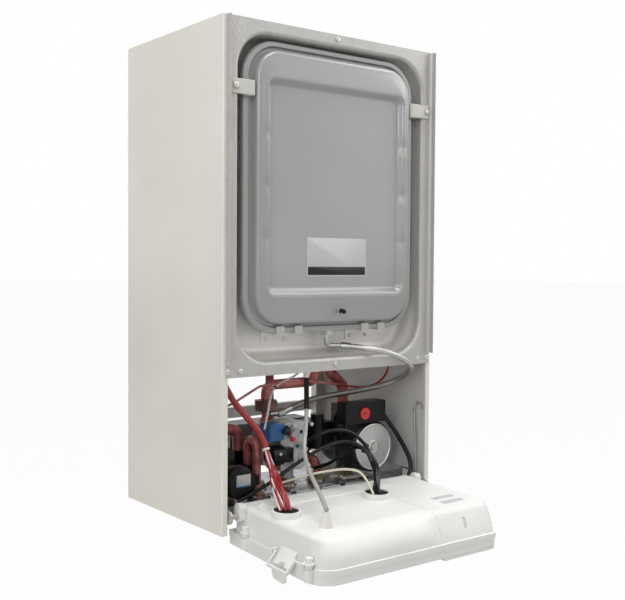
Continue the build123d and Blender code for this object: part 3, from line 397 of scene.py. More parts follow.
def gridFaces(rows, columns, start, capped):
    # quads of a rows by columns grid that closes round, with a face across each end where it is capped
    r, c = np.arange(rows - 1)[:, None] * columns, np.arange(columns)[None, :]
    after = (c + 1) % columns
    quads = np.stack([r + c, r + columns + c, r + columns + after, r + after], -1)
    faces = (quads.reshape(-1, 4) + start).tolist()
    if capped:
        faces.append([start + k for k in range(columns)])
        faces.append([start + (rows - 1) * columns + k for k in range(columns)][::-1])
    return faces


def gridMesh(name, grids, looks, uv=None, bands=None, bandOf=None, capped=True):
    # one piece from grids of points; bands number the look of each row, bandOf that of each grid; without
    # caps the first and the last row are one ring, and are merged
    grids = grids if isinstance(grids, list) else [grids]
    faces, band, start = [], [], 0
    for k, grid in enumerate(grids):
        rows, columns = grid.shape[:2]
        faces += gridFaces(rows, columns, start, capped)
        rowBand = np.full(rows - 1, bandOf[k] if bandOf else 0) if bands is None else np.asarray(bands)
        band += np.repeat(rowBand, columns).tolist() + [int(rowBand[0]), int(rowBand[-1])] * capped
        start += rows * columns
    mesh = bpy.data.meshes.new(name)
    mesh.from_pydata(np.concatenate([g.reshape(-1, 3) for g in grids]).tolist(), [], faces)
    if uv is not None:
        layer = mesh.uv_layers.new(name="surface")
        corner = np.zeros(len(mesh.loops), np.int32)
        mesh.loops.foreach_get("vertex_index", corner)
        layer.data.foreach_set("uv", uv.reshape(-1, 2)[corner].ravel())
    mesh.polygons.foreach_set("use_smooth", [True] * len(mesh.polygons))
    mesh.polygons.foreach_set("material_index", band)
    shape = bmesh.new()
    shape.from_mesh(mesh)
    if not capped:
        bmesh.ops.remove_doubles(shape, verts=shape.verts, dist=0.000001)
    if shape.calc_volume(signed=True) < 0:
        bmesh.ops.reverse_faces(shape, faces=shape.faces)
    shape.to_mesh(mesh)
    shape.free()
    mesh.set_sharp_from_angle(angle=math.radians(48))
    return linked(name, mesh, looks)


def mounted(piece, body="casing", replaced=None):
    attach(piece, body)
    if replaced:
        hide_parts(replaced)
    return piece


# distances in metres and angles in degrees
skin = {"merge": 0.00001, "coplanar": 0.5, "cut": 0.000001, "edge": 40.0, "segments": 2, "weight": 50}


def softened(node, width, second=None, where=None, cuts=(), move=None, flat=True):
    # a merged copy of a CAD node with its sharp edges slightly rounded, which takes the node's place
    mesh = nodes[node].data.copy()
    shape = bmesh.new()
    shape.from_mesh(mesh)
    bmesh.ops.remove_doubles(shape, verts=shape.verts, dist=skin["merge"])
    bmesh.ops.dissolve_limit(shape, angle_limit=math.radians(skin["coplanar"]), verts=shape.verts,
                             edges=shape.edges)
    for place, normal in cuts:
        every = shape.verts[:] + shape.edges[:] + shape.faces[:]
        bmesh.ops.bisect_plane(shape, geom=every, dist=skin["cut"], plane_co=place, plane_no=normal)
    if move:
        moved = move(np.array([v.co for v in shape.verts]))
        for vertex, place in zip(shape.verts, moved):
            vertex.co = place
    shape.to_mesh(mesh)
    shape.free()
    mesh.polygons.foreach_set("use_smooth", [True] * len(mesh.polygons))
    if second:
        centre = np.zeros(len(mesh.polygons) * 3)
        mesh.polygons.foreach_get("center", centre)
        mesh.materials.append(finishes[second])
        mesh.polygons.foreach_set("material_index", where(*centre.reshape(-1, 3).T).astype(int).tolist())
    piece = linked(node + "Skin", mesh)
    edge = piece.modifiers.new("edge", "BEVEL")
    edge.limit_method = "ANGLE"
    edge.angle_limit = math.radians(skin["edge"])
    edge.width = width
    edge.segments = skin["segments"]
    edge.use_clamp_overlap = True
    edge.harden_normals = True
    if flat:
        even = piece.modifiers.new("even", "WEIGHTED_NORMAL")
        even.mode = "FACE_AREA"
        even.weight = skin["weight"]
        even.keep_sharp = True
    return mounted(piece, bodyOf[node], node)


def ring(stations, centre, normal=(0, -1, 0), right=(1, 0, 0), columns=64):
    # stations (radius, height) turned about an axis: centre + right*r*cos + up*r*sin + normal*h
    normal, right = np.array(normal, float), np.array(right, float)
    up = np.cross(normal, right)
    angle = np.linspace(0, 2 * math.pi, columns, endpoint=False)
    r, h = np.array(stations, float).T
    spoke = np.cos(angle)[None, :, None] * right + np.sin(angle)[None, :, None] * up
    return np.array(centre, float) + r[:, None, None] * spoke + h[:, None, None] * normal


def outline(half, low, high, radius, side=60, tall=100, corner=16):
    # rounded rectangle in x and z: quarter circles joined by straight runs, with the same count of points
    wide = half - radius
    centres = [(wide, high - radius), (-wide, high - radius), (-wide, low + radius), (wide, low + radius)]
    arcs = []
    for k, centre in enumerate(centres):
        angle = np.radians(90 * k + np.linspace(0, 90, corner))
        arcs.append(np.stack([np.cos(angle), np.sin(angle)], 1) * radius + centre)
    points = []
    for k, arc in enumerate(arcs):
        step = np.linspace(0, 1, (side, tall)[k % 2] + 2)[1:-1, None]
        points += [arc, arc[-1] + (arcs[(k + 1) % 4][0] - arc[-1]) * step]
    return np.concatenate(points)


faceFront = ((1, 0, 0), (0, 0, 1))
faceUp = ((1, 0, 0), (0, 1, 0))


def plate(name, centre, size, corner, thick, look, axes=faceFront, body="casing", soft=0.15):
    # a thin rounded plate on its right and up axes: outline at the back, at the front edge and just inside it
    right, up = np.array(axes, float)
    normal = np.cross(right, up)
    flat = outline(size[0] / 2, -size[1] / 2, size[1] / 2, corner, side=8, tall=8, corner=8)
    small = flat * (1 - 2 * soft * thick / np.array(size))
    rows = [(flat, 0), (flat, thick * (1 - soft)), (small, thick)]
    grid = [np.array(centre, float) + f[:, :1] * right + f[:, 1:] * up + h * normal for f, h in rows]
    return mounted(gridMesh(name, np.stack(grid), [look]), body)


# the expansion vessel's front pan: rounded rectangles are (half width, low, high, corner radius)

pan = {"flange": (0.168, 0.317, 0.7605, 0.052), "foot": (0.1615, 0.3225, 0.7541, 0.0475), "backY": -0.3003,
       "flangeY": -0.303, "face": -0.3215, "edge": 0.0004, "fillet": 0.002, "shoulder": 0.0085,
       "crown": 0.0040,
       "field": (0.1405, 0.373, 0.706, 0.010), "fieldDepth": 0.0068, "lip": 0.003, "slope": 0.0105,
       "dimples": (0.6215, 0.539, 0.4565), "dimpleX": 0.1425, "dimpleSize": (0.0075, 0.0105),
       "dimpleDepth": 0.0017}


def shrunk(shape, inset, rounder=1.0):
    # a rounded rectangle drawn in on all sides, its corner radius by a share of that
    return shape - inset * np.array([1, -1, 1, rounder])


def vesselFront():
    # stations from the flange's back over the shoulder, up the crowned border and down into the sunk field;
    # each is a rounded rectangle, blended between its neighbours: a + (b - a)*t
    flange, foot, field = (np.array(pan[k]) for k in ("flange", "foot", "field"))
    size, lift, rim = pan["shoulder"], pan["face"], pan["flangeY"]
    stations = [(flange, pan["backY"]), (flange, rim + pan["edge"]), (shrunk(flange, pan["edge"]), rim),
                (shrunk(foot, -pan["fillet"]), rim), (shrunk(foot, -0.3 * pan["fillet"]), rim - 0.0005),
                (foot, rim - pan["fillet"])]
    top = shrunk(foot, 2 * pan["edge"])
    for turn in np.radians(np.linspace(0, 90, 10)):
        inset, y = size * (1 - math.cos(turn)), lift + size * (1 - math.sin(turn))
        stations.append((shrunk(top, inset, 0.9), min(y, rim - 0.003)))
    shoulder = stations[-1][0]
    lip = shrunk(field, -pan["lip"], 4 / 3)
    for t in np.linspace(0, 1, 9)[1:]:
        stations.append((shoulder + (lip - shoulder) * t, lift - pan["crown"] * math.sin(t * math.pi / 2)))
    low, high = lift + pan["fieldDepth"], lift - pan["crown"]
    for t in np.linspace(0, 1, 11)[1:]:
        ease = t * t * (3 - 2 * t)
        stations.append((shrunk(lip, pan["slope"] * t, 0.8), high + (low - high) * ease))
    inner = stations[-1][0]
    stations += [(shrunk(inner, 0.003), low), (shrunk(inner, 0.03, 0.008 / 0.03), low)]
    rings = []
    for (half, z0, z1, radius), y in stations:
        flat = outline(half, z0, z1, max(radius, 0.004))
        rings.append(np.insert(flat, 1, y, axis=1))
    grid = np.stack(rings)
    # dimples pressed into the border beside the field: depth * exp(-(dx/w)^2 - (dz/h)^2)
    wide, tall = pan["dimpleSize"]
    front = grid[..., 1] < rim - 0.004
    across = (np.abs(grid[..., 0]) - pan["dimpleX"]) / wide
    for z in pan["dimples"]:
        gone = np.exp(-across ** 2 - ((grid[..., 2] - z) / tall) ** 2)
        grid[..., 1] += np.where(front, gone * pan["dimpleDepth"], 0)
    mounted(gridMesh("vesselFront", grid, ["vessel"]), "casing", "vessel_front_pan")


vesselFront()
labelX, labelY, labelZ = 0.0031, pan["face"] + pan["fieldDepth"] - 0.0001, 0.430
plate("vesselLabel", (labelX, labelY, labelZ), (0.126, 0.0635), 0.003, 0.0004, "label")
plate("vesselLabelBand", (labelX, labelY - 0.0003, labelZ - 0.0222), (0.1215, 0.0135), 0.0008, 0.0003,
      "labelDark")
print("vessel done")


# screws: a domed head with a cross driven into it, in shares of its radius and height

head = {"skirt": 0.45, "shoulder": 0.62, "reach": 0.62, "slot": 0.13, "deep": 0.5, "shallow": 0.08}
sunkFoot = -0.0004


def screwHead(centre, radius=0.0042, tall=0.0026, normal=(0, -1, 0), turn=0.4):
    # height = dome(r), less the cross: deep * (1 - r/reach) + shallow where |x| or |y| is within the slot
    r = np.concatenate([[1.0, 1.0, 0.97], np.linspace(0.9, 0.0, 12)[:-1], [0.02]]) * radius
    dome = np.sqrt(np.clip(1 - (r / radius) ** 2, 0, 1))
    h = tall * (head["shoulder"] + (1 - head["shoulder"]) * dome)
    h[:3] = sunkFoot, tall * head["skirt"], tall * head["shoulder"]
    angle = np.linspace(0, 2 * math.pi, 40, endpoint=False)
    normal, right = np.array(normal, float), np.array((1.0, 0.0, 0.0))
    up = np.cross(normal, right)
    x, y = r[:, None] * np.cos(angle), r[:, None] * np.sin(angle)
    reach, slot = radius * head["reach"], radius * head["slot"]
    cross = ((np.abs(x) < slot) | (np.abs(y) < slot)) & (r[:, None] < reach)
    sunk = head["deep"] * (1 - r[:, None] / reach) + head["shallow"]
    height = h[:, None] - np.where(cross, tall * sunk, 0)
    c, s = math.cos(turn), math.sin(turn)
    place = (x * c - y * s)[..., None] * right + (x * s + y * c)[..., None] * up
    return np.array(centre, float) + place + height[..., None] * normal


plateY, stripY = -0.3162, -0.2661
clipX, clipY, clipZ = 0.2003, -0.3198, 0.6888
plateHeads = [(-0.188, plateY, 0.2525), (0.188, plateY, 0.2525), (0.0, plateY, 0.253), (0.0, plateY, 0.787)]
screws = [screwHead(place, turn=0.3 + 0.7 * k) for k, place in enumerate(plateHeads)]
mounted(gridMesh("plateScrews", screws, ["screw"]), "casing", "panel_screws")
large = [(-0.2113, -0.3152, 0.2525), (0.2113, -0.3152, 0.2535), (-clipX, clipY - 0.0004, clipZ),
         (clipX, clipY - 0.0004, clipZ)]
small = [(x, stripY, 0.2956) for x in (-0.107, -0.0705, 0.0705, 0.107)]
heads = [screwHead(place, turn=0.9 * k) for k, place in enumerate(large)]
heads += [screwHead(place, 0.0034, 0.002, turn=0.5 * k) for k, place in enumerate(small)]
mounted(gridMesh("trimScrews", heads, ["screw"]))
for name, side in (("Left", -1), ("Right", 1)):
    plate("clipWasher" + name, (side * clipX, clipY + 0.0003, clipZ), (0.0115, 0.0125), 0.001, 0.0007, "zinc")
print("screws done")


# cords: each follows its route's points as one smooth NURBS line

def smoothLine(points, name):
    line = bpy.data.curves.new(name + "Line", "CURVE")
    line.dimensions = "3D"
    line.resolution_u = 24
    spline = line.splines.new("NURBS")
    spline.points.add(len(points) - 1)
    for point, place in zip(spline.points, points):
        point.co = (*place, 1.0)
    spline.order_u = 3
    spline.use_endpoint_u = True
    carrier = bpy.data.objects.new(name + "Line", line)
    bpy.context.scene.collection.objects.link(carrier)
    bpy.context.view_layer.update()
    mesh = bpy.data.meshes.new_from_object(carrier.evaluated_get(bpy.context.evaluated_depsgraph_get()))
    path = np.zeros(len(mesh.vertices) * 3)
    mesh.vertices.foreach_get("co", path)
    bpy.data.objects.remove(carrier)
    bpy.data.meshes.remove(mesh)
    return path.reshape(-1, 3)


def distances(path):
    # each point's distance from the start, along the line
    return np.concatenate(([0.0], np.cumsum(np.linalg.norm(np.diff(path, axis=0), axis=1))))


def lineLength(path):
    return float(distances(path)[-1])


def pointsAt(path, wanted):
    # the line's points at the wanted distances from its start
    return np.stack([np.interp(wanted, distances(path), path[:, k]) for k in range(3)], 1)


def partOf(path, start, end):
    # the stretch of a line between two shares of its length
    return pointsAt(path, np.linspace(start, end, 160) * lineLength(path))


def carried(path):
    # frames along a line that turn as little as possible
    along = np.gradient(path, axis=0)
    along /= np.linalg.norm(along, axis=1)[:, None]
    side = np.cross(along[0], (0.0, 0.0, 1.0))
    side /= np.linalg.norm(side)
    sides = []
    for t in along:
        side = side - t * side.dot(t)
        side /= np.linalg.norm(side)
        sides.append(side)
    sides = np.array(sides)
    return along, sides, np.cross(along, sides)


def tubeGrid(path, radius, step=0.002, sides=20, wave=None):
    # circle of the given radius carried along the path: path + side*cos + up*sin
    total = lineLength(path)
    lengths = np.linspace(0, total, max(8, int(round(total / step)) + 1))
    line = pointsAt(path, lengths)
    along, side, up = carried(line)
    angle = np.linspace(0, 2 * math.pi, sides, endpoint=False)
    size = radius(lengths)[:, None] if callable(radius) else np.full((len(line), 1), radius)
    size = np.broadcast_to(size, (len(line), sides))
    if wave is not None:
        size = size + wave(lengths[:, None], angle[None, :])
    points = (line[:, None, :] + side[:, None, :] * (np.cos(angle)[None, :] * size)[..., None]
              + up[:, None, :] * (np.sin(angle)[None, :] * size)[..., None])
    uv = np.stack(np.broadcast_arrays(lengths[:, None], angle[None, :] / (2 * math.pi)), -1)
    return points, uv, lengths


# the open control box's own frame: x, u forward from its hinge line, w up from it

drop = math.radians(2.75)
hinge = np.array((0.0, -0.312, 0.010))
forwardAxis = np.array((0.0, -math.cos(drop), -math.sin(drop)))
upAxis = np.array((0.0, -math.sin(drop), math.cos(drop)))


def boxPoint(x, u, w):
    # hinge + x*right + u*forward + w*up, for one point or for columns of them
    outer = np.multiply.outer
    return hinge + outer(x, (1.0, 0.0, 0.0)) + outer(u, forwardAxis) + outer(w, upAxis)


def boxShares(points):
    away = points - hinge
    return away[:, 0], away @ forwardAxis, away @ upAxis


# the cords' routes

hose = {"radius": 0.005, "points": [
    (0.053, -0.290, 0.2785), (0.0847, -0.3322, 0.2749), (0.1334, -0.3351, 0.2583), (0.1662, -0.3264, 0.2415),
    (0.1907, -0.288, 0.2216), (0.178, -0.2517, 0.2014), (0.1265, -0.2276, 0.1902), (0.0695, -0.218, 0.1851),
    (0.031, -0.204, 0.179), (0.004, -0.190, 0.165)]}
collarTop = 0.0405
leftHole = boxPoint(-0.155, 0.079, collarTop)
rightHole = boxPoint(0.0316, 0.0726, collarTop)
loom = {"radius": 0.0055, "opens": 0.56, "wires": 16, "spread": 0.0105, "wire": 0.0013, "tie": 0.0062,
        "overlap": 0.03, "core": 0.0025, "wander": 0.0016, "points": [
    (-0.201, -0.283, 0.242), (-0.187, -0.282, 0.211), (-0.160, -0.285, 0.179), (-0.129, -0.290, 0.145),
    (-0.125, -0.303, 0.108), (-0.137, -0.337, 0.084), (-0.151, -0.372, 0.072), leftHole]}


def nearRightHole(dx, dy):
    return rightHole + (dx, dy, 0.0)


leads = {
    "leadA": {"radius": 0.003, "points": [
        (-0.006, -0.241, 0.104), (-0.027, -0.271, 0.118), (-0.006, -0.303, 0.142), (0.044, -0.303, 0.137),
        (0.070, -0.315, 0.111), (0.066, -0.339, 0.088), (0.044, -0.374, 0.072),
        nearRightHole(-0.004, 0.003)]},
    "leadB": {"radius": 0.003, "points": [
        (-0.158, -0.265, 0.036), (-0.116, -0.271, 0.051), (-0.071, -0.287, 0.083), (-0.023, -0.303, 0.112),
        (0.034, -0.302, 0.122), (0.062, -0.323, 0.107), (0.062, -0.341, 0.083), (0.040, -0.376, 0.070),
        nearRightHole(0.001, -0.0045)]},
    "leadC": {"radius": 0.003, "points": [
        (0.030, -0.218, 0.058), (0.036, -0.262, 0.072), (0.055, -0.283, 0.101), (0.066, -0.315, 0.108),
        (0.070, -0.343, 0.085), (0.050, -0.372, 0.068), nearRightHole(0.0055, 0.003)]},
    "pumpLead": {"radius": 0.004, "points": [
        (0.167, -0.251, 0.145), (0.175, -0.267, 0.124), (0.199, -0.270, 0.090), (0.207, -0.283, 0.059),
        (0.200, -0.287, 0.038), (0.184, -0.287, 0.022), (0.162, -0.289, 0.016),
        boxPoint(0.150, -0.0218, 0.006)]},
    "thinLead": {"radius": 0.002, "look": "creamCable", "points": [
        (-0.098, -0.262, 0.050), (-0.052, -0.290, 0.067), (-0.005, -0.310, 0.075), (0.022, -0.330, 0.078),
        (0.037, -0.352, 0.071), nearRightHole(-0.012, -0.006)]},
}
drain = {"radius": 0.0035, "connector": 0.008, "sleeve": 0.060, "points": [
    (-0.049, -0.301, 0.242), (-0.047, -0.300, 0.203), (-0.051, -0.305, 0.160), (-0.079, -0.334, 0.119),
    (-0.102, -0.382, 0.095), (-0.121, -0.432, 0.076), boxPoint(-0.136, 0.152, 0.0584)]}
sensorPair = {"radius": 0.0019, "points": [
    (-0.018, -0.257, 0.244), (-0.040, -0.257, 0.229), (-0.066, -0.257, 0.2225), (-0.083, -0.257, 0.213),
    (-0.0905, -0.259, 0.199), (-0.098, -0.264, 0.181), (-0.108, -0.272, 0.163), (-0.118, -0.281, 0.151)]}
redTube = {"radius": 0.0022, "look": "redCable", "points": [
    (0.098, -0.206, 0.2005), (0.130, -0.222, 0.194), (0.165, -0.228, 0.197), (0.186, -0.228, 0.209),
    (0.199, -0.227, 0.224), (0.205, -0.226, 0.244)]}


def rides(piece, folds=True):
    # with folds, a cord's placement is baked into its mesh and it is left on no body; without, it is mounted
    # on the casing
    if not folds:
        return mounted(piece)
    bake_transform(piece)
    return piece


def declared(piece, cord, replaced=None, also=()):
    if replaced:
        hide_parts(replaced)
    2 * cord["radius"]


def weave(length, angle):
    # two families of wires cross over each other: a * |sin(k*s + m*t) * sin(k*s - m*t)| - b
    return 0.00022 * np.abs(np.sin(1200 * length + 8 * angle) * np.sin(1200 * length - 8 * angle)) - 0.0001


def layHose():
    path = smoothLine(hose["points"], "braidedHose")
    points, uv, _ = tubeGrid(path, hose["radius"], 0.0005, 56, weave)
    piece = gridMesh("braidedHose", points, ["braid"], uv=uv)
    declared(rides(piece, False), hose, "braided_hose")


def layLoom():
    # a red sleeve as far as its tie, then single wires that fan out into the collar round one in the middle
    path = smoothLine(loom["points"], "redLoom")
    opens, looks = loom["opens"], ["redCable", "whiteCable"]

    def sleeve(lengths):
        share = lengths / lengths[-1]
        thinner = 0.22 * np.clip((share - 0.8) / 0.2, 0, 1)
        return loom["radius"] * (0.93 + 0.05 * np.sin(lengths * 240) - thinner)

    stretch = partOf(path, opens - loom["overlap"], 1.0)
    along, side, up = carried(stretch)
    t = np.linspace(0, 1, len(stretch))
    main = [tubeGrid(partOf(path, 0, opens), sleeve, 0.002, 20)[0],
            tubeGrid(stretch, loom["wire"] * 2, 0.002, 12)[0],
            tubeGrid(partOf(path, opens - 0.035, opens - 0.022), loom["tie"], 0.001, 20)[0]]
    grids, kinds = [], []
    for k in range(1, loom["wires"]):
        angle = 2 * math.pi * k / loom["wires"] + 1.1 * np.sin(2.6 * t + k)
        reach = loom["spread"] * (0.55 + 0.45 * ((k * 5) % 7) / 6)
        away = loom["core"] + (reach - loom["core"]) * np.sin(t * math.pi / 2) ** 1.8
        away += loom["wander"] * np.sin(t * 9 + 2.1 * k) * t * (1 - t) * 4
        offset = side * (np.cos(angle) * away)[:, None] * 1.25 + up * (np.sin(angle) * away)[:, None] * 0.7
        grids.append(tubeGrid(stretch + offset, loom["wire"], 0.003, 8)[0])
        kinds.append(1 if k % 4 == 1 else 0)
    piece = gridMesh("redLoom", main, looks, bandOf=[0, 0, 1])
    fan = gridMesh("loomWires", grids, looks, bandOf=kinds)
    declared(rides(piece), loom, "red_loom", also=[rides(fan)])


def layPlain(name, cord, replaced=None, folds=True, also=()):
    path = smoothLine(cord["points"], name)
    points, _, _ = tubeGrid(path, cord["radius"], 0.002, 16)
    piece = gridMesh(name, points, [cord.get("look", "cable")])
    declared(rides(piece, folds), cord, replaced, also=also)


def layDrain():
    # a short connector and a black sleeve at the top, then a pale tube down to the cone boot
    path = smoothLine(drain["points"], "drainTube")
    sleeve, connector = drain["sleeve"], drain["connector"]

    def radius(lengths):
        size = np.full(len(lengths), drain["radius"])
        size[lengths < sleeve] = drain["radius"] + 0.0007
        size[lengths < connector] = drain["radius"] + 0.0015
        return size

    points, _, lengths = tubeGrid(path, radius, 0.001, 20)
    rows = np.where(lengths[:-1] < connector, 0, np.where(lengths[:-1] < sleeve, 1, 2))
    piece = gridMesh("drainTube", points, ["whiteCable", "cable", "greyTube"], bands=rows)
    declared(rides(piece), drain, "drain_tube")


def tie(name, path, share, radius, look):
    # a short band round a line, at a share of its length
    half = 0.0011 / lineLength(path)
    return gridMesh(name, tubeGrid(partOf(path, share - half, share + half), radius, 0.0004, 20)[0], [look])


def laySensorPair():
    # two twisted wires as one tube: radius * (0.62 + 0.42*|cos(angle - turns*s)|)
    path = smoothLine(sensorPair["points"], "sensorPair")
    size = sensorPair["radius"]
    points, _, _ = tubeGrid(path, size * 0.62, 0.0005, 20,
                            lambda length, angle: size * 0.42 * np.abs(np.cos(angle - length * 420)))
    piece = gridMesh("sensorPair", points, ["pairWhite"])
    band = tie("sensorTie", path, 0.47, 0.0031, "cable")
    declared(rides(piece, False), sensorPair, also=[rides(band, False)])


def leadTie():
    # a black band round the three leads where they come together: centred on their points nearest to a spot
    spot = np.array((0.066, -0.319, 0.108))
    near = []
    for name in ("leadA", "leadB", "leadC"):
        path = smoothLine(leads[name]["points"], name + "Tie")
        k = int(np.linalg.norm(path - spot, axis=1).argmin())
        near.append(path[k])
    centre = np.mean(near, axis=0)
    ahead = path[k + 2] - path[k - 2]
    ahead = ahead / np.linalg.norm(ahead)
    side = np.cross(ahead, (0.0, 1.0, 0.0))
    side /= np.linalg.norm(side)
    reach = max(np.linalg.norm(np.array(near) - centre, axis=1)) * 0.8 + leads["leadA"]["radius"]
    stations = [(reach, -0.0016), (reach + 0.0007, -0.0014), (reach + 0.0007, 0.0014), (reach, 0.0016)]
    return rides(gridMesh("leadTie", ring(stations, centre, ahead, side, 40), ["cable"]))


layHose()
layLoom()
for leadName, lead in leads.items():
    layPlain(leadName, lead, "wiring_leads", also=[leadTie()] if leadName == "leadB" else [])
layDrain()
laySensorPair()
layPlain("redTube", redTube, folds=False)


# the pump: its silver cap with a bare white disc, and the red dial's slot

pump = {"centre": (0.141, -0.252, 0.090), "rim": 0.0425, "disc": 0.0375, "hole": 0.0073}


def pumpCap():
    # turned ring: up the rim, over its rounded edge, down a groove to the disc and in to the vent screw
    r, disc, hole = pump["rim"], pump["disc"], pump["hole"]
    rim = [(hole, 0), (r - 0.0003, 0), (r, 0.0003), (r, 0.0019), (r - 0.0004, 0.0026), (r - 0.0012, 0.0030)]
    groove = [(disc + 0.0016, 0.0030), (disc + 0.0009, 0.0027), (disc + 0.0004, 0.0020), (disc, 0.0020)]
    face = [(disc - 0.0003, 0.0024), (disc - 0.0008, 0.0026), (hole + 0.0046, 0.0026)]
    hub = [(hole + 0.0042, 0.0029), (hole + 0.0006, 0.0029), (hole + 0.0001, 0.0026), (hole, 0.0022),
           (hole, 0)]
    bands = [0] * 9 + [1] * 3 + [0] * 5
    grid = ring(rim + groove + face + hub, pump["centre"], columns=96)
    piece = gridMesh("pumpCapDisc", grid, ["silver", "label"], bands=bands, capped=False)
    mounted(piece, "casing", "pump_cap")


pumpCap()
# the dial's slot: a thin black strip laid over it, painted shade for the slot's dark inside
plate("dialSlot", (0.112, -0.2634, 0.154), (0.0125, 0.0026), 0.0008, 0.0005, "black",
      ((0.8, 0, -0.6), (0.6, 0, 0.8)), "pump_dial")


# moulded, cast and pressed pieces with their edges rounded

smallEdge = 0.0009
for node in ("pump_electronics", "gas_valve", "return_group", "flow_group", "union_nuts",
             "control_front_shell", "side_bail", "diverter_actuator", "chamber_front_plate"):
    softened(node, smallEdge)
softened("vessel_clips", 0.0022)
softened("vessel_rear_pan", 0.0014)
# the modulator below the blue coil and the coil's plug end are black
modulatorTop, plugEnd = 0.118, -0.0565
softened("gas_coils", smallEdge, second="black", where=lambda x, y, z: (z < modulatorTop) | (x > plugEnd))


def cap(name, place, radius, tall, look):
    # a turned cap with a rounded rim, facing forward
    stations = [(radius, 0), (radius, tall * 0.7), (radius * 0.96, tall * 0.88), (radius * 0.86, tall),
                (0.0003, tall)]
    mounted(gridMesh(name, ring(stations, place, columns=48), [look]))


valveY, coilY = -0.242, -0.2565
caps = {
    "valveCap": ((0.0, -0.3303, 0.3412), 0.0046, 0.0082, "black"),
    "coilCapUpper": ((-0.0481, coilY + 0.001, 0.1342), 0.0026, 0.004, "dial"),
    "coilCapLower": ((-0.0437, coilY + 0.001, 0.1231), 0.0042, 0.005, "dial"),
    "valvePort": ((-0.0345, valveY + 0.001, 0.1285), 0.0066, 0.009, "steel"),
    # the two valve holes are flat black discs: painted shade for the dark insides of the holes
    "valveHoleUpper": ((-0.014, valveY + 0.0004, 0.131), 0.0034, 0.0008, "black"),
    "valveHoleLower": ((-0.022, valveY + 0.0004, 0.107), 0.0028, 0.0008, "black"),
    "modulatorStud": ((-0.0672, coilY + 0.001, 0.1005), 0.0026, 0.002, "whiteCable"),
    "actuatorCap": ((-0.1496, -0.2500, 0.0672), 0.0245, 0.0119, "black"),
}
for name, (place, radius, tall, look) in caps.items():
    cap(name, place, radius, tall, look)
plate("coilPlug", (-0.0575, coilY + 0.0004, 0.1375), (0.013, 0.009), 0.001, 0.0065, "black",
      ((0.94, 0, -0.34), (0.34, 0, 0.94)))
valveHeads = [(-0.029, 0.142), (0.008, 0.142), (0.008, 0.062), (-0.029, 0.076), (-0.004, 0.100)]
valveScrews = [screwHead((x, valveY, z), 0.0036, 0.0026, turn=0.8 * k) for k, (x, z) in enumerate(valveHeads)]
mounted(gridMesh("valveScrews", valveScrews, ["screw"]))
# a black disc on the left panel's lip stands for its small hole: painted shade for the hole's dark inside
lipHole = ring([(0.0016, 0), (0.0016, 0.0002), (0.0003, 0.0002)], (-0.2135, -0.31495, 0.5465), columns=24)
mounted(gridMesh("lipHole", lipHole, ["black"]))

# pressed ribs on the pipe tray
trayTop, ribSize = 0.0279, (0.062, 0.011)
ribPlaces = [(0.114, -0.163), (0.126, -0.185), (0.138, -0.207), (-0.100, -0.275), (-0.020, -0.275)]
for k, (x, y) in enumerate(ribPlaces):
    plate(f"trayRib{k + 1}", (x, y, trayTop), ribSize, 0.0054, 0.0032, "zinc", faceUp, soft=0.6)
print("pump and valves done")


# the control box's covers: the rear one's front edge is rolled over, the terminal one slopes back

cover = {"half": 0.182, "low": -0.018, "high": 0.201, "corner": 0.038, "rim": -0.013, "top": 0.033,
         "draft": 3.0, "roll": 0.040, "edge": 0.008, "lean": 0.018, "leanFrom": 0.120, "leanTo": 0.190,
         "slotX": 0.108, "slotWide": 0.025, "slotShift": 0.006, "seam": 0.056, "blend": 0.036,
         "fade": (0.25, 0.9), "over": 1.02}


def eased(value, low, high):
    t = np.clip((value - low) / (high - low), 0, 1)
    return t * t * (3 - 2 * t)


def leaningCover(points):
    # the front leans back: u - lean * height^1.3, faded in towards the front edge
    c = cover
    x, u, w = boxShares(points)
    height = np.clip((w - c["rim"]) / (c["top"] - c["rim"]), 0, 1)
    u = u - c["lean"] * height ** 1.3 * eased(u, c["leanFrom"], c["leanTo"])
    x = x + c["slotShift"] * np.exp(-((x - c["slotX"]) / c["slotWide"]) ** 2)
    return boxPoint(x, u, w)


def rolledCover(points):
    # in each section across the front edge, a = 1 - depth/roll and b = 1 - drop/roll are kept as a shell
    # m of the old edge, and (a, b) goes to m * (a, b) / |(a, b)|, which is a circle
    c = cover
    x, u, w = boxShares(points)
    inset = (w - c["rim"]) * math.tan(math.radians(c["draft"]))
    half, long = c["half"] - inset, (c["high"] - c["low"]) / 2 - inset
    qx, qu = np.abs(x) - (half - c["corner"]), u - (c["high"] + c["low"]) / 2 - (long - c["corner"])
    reach = np.hypot(np.maximum(qx, 0), np.maximum(qu, 0))
    depth = c["corner"] - reach - np.minimum(np.maximum(qx, qu), 0)
    curved = reach > 1e-6
    nx = np.where(curved, np.maximum(qx, 0) / np.maximum(reach, 1e-6), qx > qu) * np.sign(x)
    nu = np.where(curved, np.maximum(qu, 0) / np.maximum(reach, 1e-6), qu >= qx)
    a, b = 1 - depth / c["roll"], 1 - (c["top"] - w) / c["roll"]
    near = (a > 0) & (b > 0) & (b < c["over"])
    a, b = np.where(near, a, 1.0), np.where(near, b, 0.0)
    k = 1 - c["edge"] / c["roll"]
    shell = k + np.hypot(np.maximum(a - k, 0), np.maximum(b - k, 0)) + np.minimum(np.maximum(a - k, b - k), 0)
    gain = (shell / np.maximum(np.hypot(a, b), 1e-6) - 1) * c["roll"] * eased(nu, *c["fade"]) * near
    rolled = boxPoint(x + gain * a * nx, u + gain * a * nu, w + gain * b)
    # next to the seam it leans as the terminal cover does
    share = eased(x, c["seam"] - c["blend"], c["seam"])[:, None]
    return rolled + (leaningCover(points) - rolled) * share


def crossCuts(us, ws, xs=()):
    return ([(hinge + u * forwardAxis, forwardAxis) for u in us] + [(hinge + w * upAxis, upAxis) for w in ws]
            + [((x, 0, 0), (1, 0, 0)) for x in xs])


